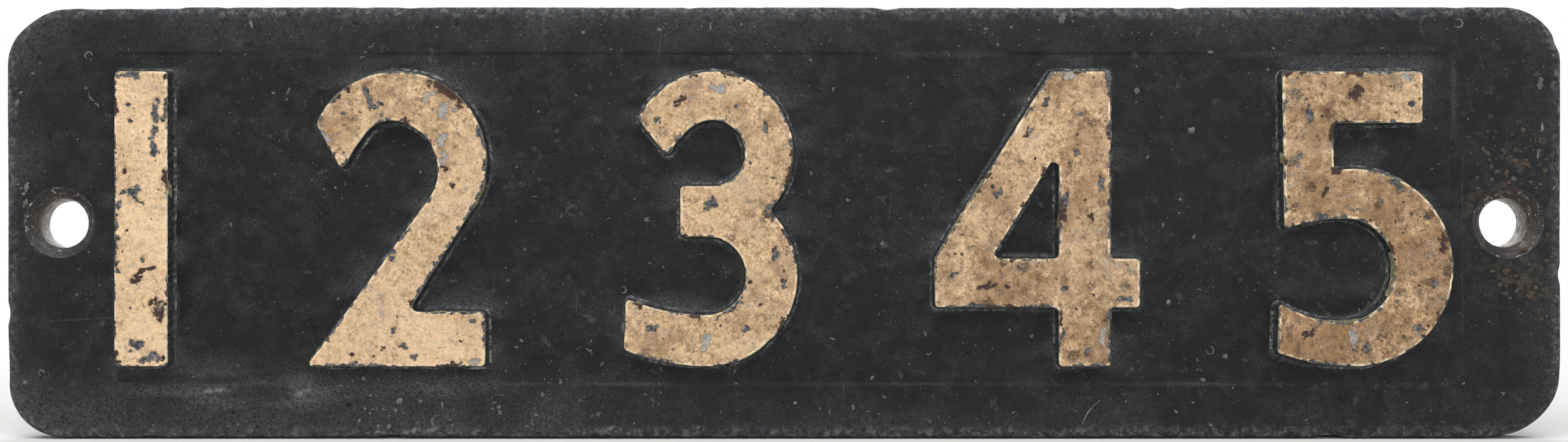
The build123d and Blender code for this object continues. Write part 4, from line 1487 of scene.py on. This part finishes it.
def floor_paint(colours):
    """Matt pale paint that keeps the object's shadow, and goes over to the white background away
    from the object."""
    material, tree, place = start_material("matt_floor_paint")
    matt = add_node(
        tree, "ShaderNodeBsdfPrincipled", {"Base Color": colours.floor, "Roughness": 0.9, "Specular IOR Level": 0.1}
    )
    reach = add_node(tree, "ShaderNodeVectorMath", {0: place, 1: (1.0, 1.6, 0.0)}, operation="MULTIPLY")
    reach = add_node(tree, "ShaderNodeVectorMath", {0: reach}, "Value", operation="LENGTH")
    far = add_node(
        tree,
        "ShaderNodeMapRange",
        {"Value": reach, "From Min": 0.3, "From Max": 0.75},
        interpolation_type="SMOOTHSTEP",
    )
    seen = background_rays(tree)
    white = add_node(tree, "ShaderNodeEmission", {"Color": linear("#FFFFFF"), "Strength": 1.0})
    both = add_node(tree, "ShaderNodeMixShader", {0: times(tree, far, seen), 1: matt, 2: white})
    add_node(tree, "ShaderNodeOutputMaterial", {"Surface": both})
    return material


def background_rays(tree):
    """1 for the rays that show the background: from the camera, off gloss and through glass."""
    path = add_node(tree, "ShaderNodeLightPath").node.outputs
    seen = add_node(
        tree, "ShaderNodeMath", {0: path["Is Camera Ray"], 1: path["Is Glossy Ray"]}, operation="MAXIMUM"
    )
    return add_node(tree, "ShaderNodeMath", {0: seen, 1: path["Is Transmission Ray"]}, operation="MAXIMUM")


class MakePlate(bpy.types.Operator):
    """Make the worn plate with its sunk panel and its two bolt holes"""

    bl_idname = "number_plate.make_plate"
    bl_label = "Make plate"

    def execute(self, context):
        sizes = context.scene.plate_settings
        shell = plate_shell(sizes)
        materials = [
            painted("weathered_black_gloss_paint", black_paint),
            painted("bolt_worn_cast_iron", hole_iron),
            painted("rusted_sand_cast_iron", rusted_iron),
        ]
        plate = shell.piece("worn_plate", materials, **plate_values(shell.points, sizes))
        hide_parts("plate")
        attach(plate, "root")
        return {"FINISHED"}


class MakeNumerals(bpy.types.Operator):
    """Make the five raised numerals with their chipped and stained paint"""

    bl_idname = "number_plate.make_numerals"
    bl_label = "Make numerals"

    def execute(self, context):
        sizes = context.scene.numeral_settings
        material = painted("aged_cream_oil_paint", cream_paint)
        for node in NUMERALS:
            shell, faces, chips = numeral_shell(node, sizes)
            values = numeral_values(node, shell.points, faces, chips)
            numeral = shell.piece("painted_" + node, [material], **values)
            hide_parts(node)
            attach(numeral, "root")
        return {"FINISHED"}


class ScatterPimples(bpy.types.Operator):
    """Scatter the pimples that burst sand left on the casting, under the black paint"""

    bl_idname = "number_plate.scatter_pimples"
    bl_label = "Scatter pimples"

    def execute(self, context):
        def share_of(places):
            patches = smooth_step(flat_noise(places, 45.0, 91, 2), -0.3, 0.6)
            return 0.25 + 0.75 * np.maximum(patches, smooth_step(places[:, 1], 35.0, 70.0) * 0.8)

        tree = scatter_tree("Scattered pimples", "GeometryNodeMeshIcoSphere", {"Radius": 1.0, "Subdivisions": 2})
        pimples = scatter(
            "casting_pimples",
            tree,
            scatter_base(share_of),
            0.08,
            Density=11000.0,
            Smallest=0.28 * MM,
            Largest=1.15 * MM,
            Height=0.24 * MM,
            Seed=5,
            Material=painted("weathered_black_gloss_paint", black_paint),
        )
        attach(pimples, "root")
        return {"FINISHED"}


class ScatterFlecks(bpy.types.Operator):
    """Scatter the grey-green flecks of an older paint that cling to the black"""

    bl_idname = "number_plate.scatter_flecks"
    bl_label = "Scatter flecks"

    def execute(self, context):
        def share_of(places):
            groups = smooth_step(flat_noise(places, 6.0, 93, 2), 0.0, 0.7)
            patches = smooth_step(flat_noise(places, 30.0, 95, 2), -0.2, 0.8)
            low_left = np.exp(-(((places[:, 0] + 110) / 60) ** 2 + ((places[:, 1] + 62) / 22) ** 2))
            near_hole = np.exp(-((np.linalg.norm(places - (-291, 14), axis=1) / 9) ** 2))
            rim = smooth_step(rectangle_distance(places, 0.0, PLATE_HIGH[[0, 2]], 22.0), -12.0, -5.0)
            return groups * (0.08 + 0.4 * patches + 2.6 * low_left + 2.5 * near_hole + 1.0 * rim) + 0.015

        colours = context.scene.plate_colours
        finish = plain_finish("flaked_grey_oil_paint", colours.fleck, linear("#45484A"), 0.8, 0.9)
        blank = {"Vertices": 6, "Radius": 1.0, "Depth": 1.0}
        tree = scatter_tree("Scattered flecks", "GeometryNodeMeshCylinder", blank)
        flecks = scatter(
            "paint_flecks",
            tree,
            scatter_base(share_of),
            0.5,
            Density=90000.0,
            Smallest=0.12 * MM,
            Largest=0.75 * MM,
            Height=0.16 * MM,
            Seed=8,
            Material=finish,
        )
        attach(flecks, "root")
        return {"FINISHED"}


class PlaceFlakes(bpy.types.Operator):
    """Place the larger flakes of old paint and rust, one by one"""

    bl_idname = "number_plate.place_flakes"
    bl_label = "Place flakes"

    def execute(self, context):
        finishes = [
            plain_finish("stuck_grey_oil_paint", linear("#757771"), linear("#434544"), 0.85, 7.0),
            plain_finish("flaked_rust", linear("#574534"), linear("#3D342C"), 0.9, 2.2),
            plain_finish("dull_grey_scale", linear("#4E4E48"), linear("#343431"), 0.9, 2.2),
        ]
        flakes = flake_shell().piece("stuck_flakes", finishes)
        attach(flakes, "root")
        return {"FINISHED"}


class ScatterScabs(bpy.types.Operator):
    """Scatter the scabs of rust that lift the paint round the right-hand bolt hole"""

    bl_idname = "number_plate.scatter_scabs"
    bl_label = "Scatter rust scabs"

    def execute(self, context):
        def share_of(places):
            share = np.zeros(len(places))
            for x, z, radius in ((282, 24, 8), (290, 31, 6), (270, 27, 5), (281, -22, 9), (289, -30, 8)):
                share += np.exp(-((np.linalg.norm(places - (x, z), axis=1) / radius) ** 2))
            return share

        colours = context.scene.plate_colours
        finish = plain_finish("lifted_rust", linear("#4C4136"), linear("#2A2826"), 0.85, 3.0)
        blank = {"Vertices": 7, "Radius": 1.0, "Depth": 1.0}
        tree = scatter_tree("Scattered scabs", "GeometryNodeMeshCylinder", blank)
        scabs = scatter(
            "rust_scabs",
            tree,
            scatter_base(share_of),
            0.65,
            Density=260000.0,
            Smallest=0.14 * MM,
            Largest=1.0 * MM,
            Height=0.24 * MM,
            Seed=11,
            Material=finish,
        )
        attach(scabs, "root")
        return {"FINISHED"}


def softbox(name, place, aim, size, power):
    """A large rectangular lamp that the camera doesn't see."""
    light = bpy.data.lights.new(name, "AREA")
    light.shape = "RECTANGLE"
    light.size, light.size_y = size
    light.energy = power
    lamp = bpy.data.objects.new(name, light)
    lamp.location = place
    lamp.rotation_euler = (Vector(aim) - Vector(place)).to_track_quat("-Z", "Y").to_euler()
    lamp.visible_camera = False
    bpy.context.scene.collection.objects.link(lamp)


class MakeStage(bpy.types.Operator):
    """Make the floor, the soft studio light and the camera"""

    bl_idname = "number_plate.make_stage"
    bl_label = "Make stage"

    def execute(self, context):
        stage = context.scene.stage_settings
        colours = context.scene.plate_colours
        low = float(PLATE_LOW[2]) * MM
        mesh = bpy.data.meshes.new("floor")
        corners = [(-2.5, -2.5), (2.5, -2.5), (2.5, 2.5), (-2.5, 2.5)]
        mesh.from_pydata([(x, y, low) for x, y in corners], [], [(0, 1, 2, 3)])
        floor = bpy.data.objects.new("floor", mesh)
        mesh.materials.append(floor_paint(colours))
        context.scene.collection.objects.link(floor)
        softbox("softbox_overhead", (-0.1, -0.6, 1.1), (0.0, 0.0, 0.0), (1.7, 0.7), stage.key_power)
        softbox("softbox_front", (0.25, -1.7, 0.35), (0.0, 0.0, 0.0), (1.8, 1.0), stage.fill_power)
        softbox("softbox_behind", (0.1, 1.4, 1.0), (0.0, 0.0, 0.0), (1.6, 1.0), stage.back_power)
        self.make_world(context, stage)
        camera = bpy.data.cameras.new("camera")
        camera.sensor_width = 36.0
        camera.lens = camera.sensor_width * stage.camera_distance / stage.view_width
        camera.clip_start = 0.01
        viewer = bpy.data.objects.new("camera", camera)
        viewer.location = (0.0, float(FRONT_Y) * MM - stage.camera_distance, stage.camera_height)
        viewer.rotation_euler = (math.pi / 2, 0.0, 0.0)
        context.scene.collection.objects.link(viewer)
        context.scene.camera = viewer
        context.scene.view_settings.view_transform = "Standard"
        return {"FINISHED"}

    def make_world(self, context, stage):
        """White to the camera, to gloss and through glass, and a soft light from all round."""
        world = bpy.data.worlds.new("studio")
        world.use_nodes = True
        tree = world.node_tree
        tree.nodes.clear()
        seen = background_rays(tree)
        light = add_node(tree, "ShaderNodeBackground", {"Color": linear("#FFFFFF"), "Strength": stage.sky})
        white = add_node(tree, "ShaderNodeBackground", {"Color": linear("#FFFFFF"), "Strength": 1.0})
        both = add_node(tree, "ShaderNodeMixShader", {0: seen, 1: light, 2: white})
        add_node(tree, "ShaderNodeOutputWorld", {"Surface": both})
        context.scene.world = world


OPERATORS = (
    MakePlate,
    MakeNumerals,
    ScatterPimples,
    ScatterFlecks,
    PlaceFlakes,
    ScatterScabs,
    MakeStage,
)


class NumberPlatePanel(bpy.types.Panel):
    """The settings and the operators in the sidebar"""

    bl_idname = "VIEW3D_PT_number_plate"
    bl_label = "Number plate"
    bl_space_type = "VIEW_3D"
    bl_region_type = "UI"
    bl_category = "Number plate"

    def draw(self, context):
        for title, settings in SETTINGS:
            box = self.layout.box()
            box.label(text=title.replace("_", " ").capitalize())
            group = getattr(context.scene, title)
            for name in settings.__annotations__:
                box.prop(group, name)
        for operator in OPERATORS:
            self.layout.operator(operator.bl_idname)


SETTINGS = (
    ("plate_settings", PlateSettings),
    ("numeral_settings", NumeralSettings),
    ("plate_colours", Colours),
    ("stage_settings", StageSettings),
)
CLASSES = tuple(group for _, group in SETTINGS) + OPERATORS + (NumberPlatePanel,)


def register():
    """Register the classes and hang the settings on the scene."""
    for part in CLASSES:
        bpy.utils.register_class(part)
    for title, group in SETTINGS:
        setattr(bpy.types.Scene, title, bpy.props.PointerProperty(type=group))


def unregister():
    """Take the settings and the classes away again."""
    for title, _ in SETTINGS:
        delattr(bpy.types.Scene, title)
    for part in reversed(CLASSES):
        bpy.utils.unregister_class(part)


def main():
    """Build every piece and the stage."""
    register()
    for operator in OPERATORS:
        group, name = operator.bl_idname.split(".")
        getattr(getattr(bpy.ops, group), name)()


if __name__ == "__main__":
    main()
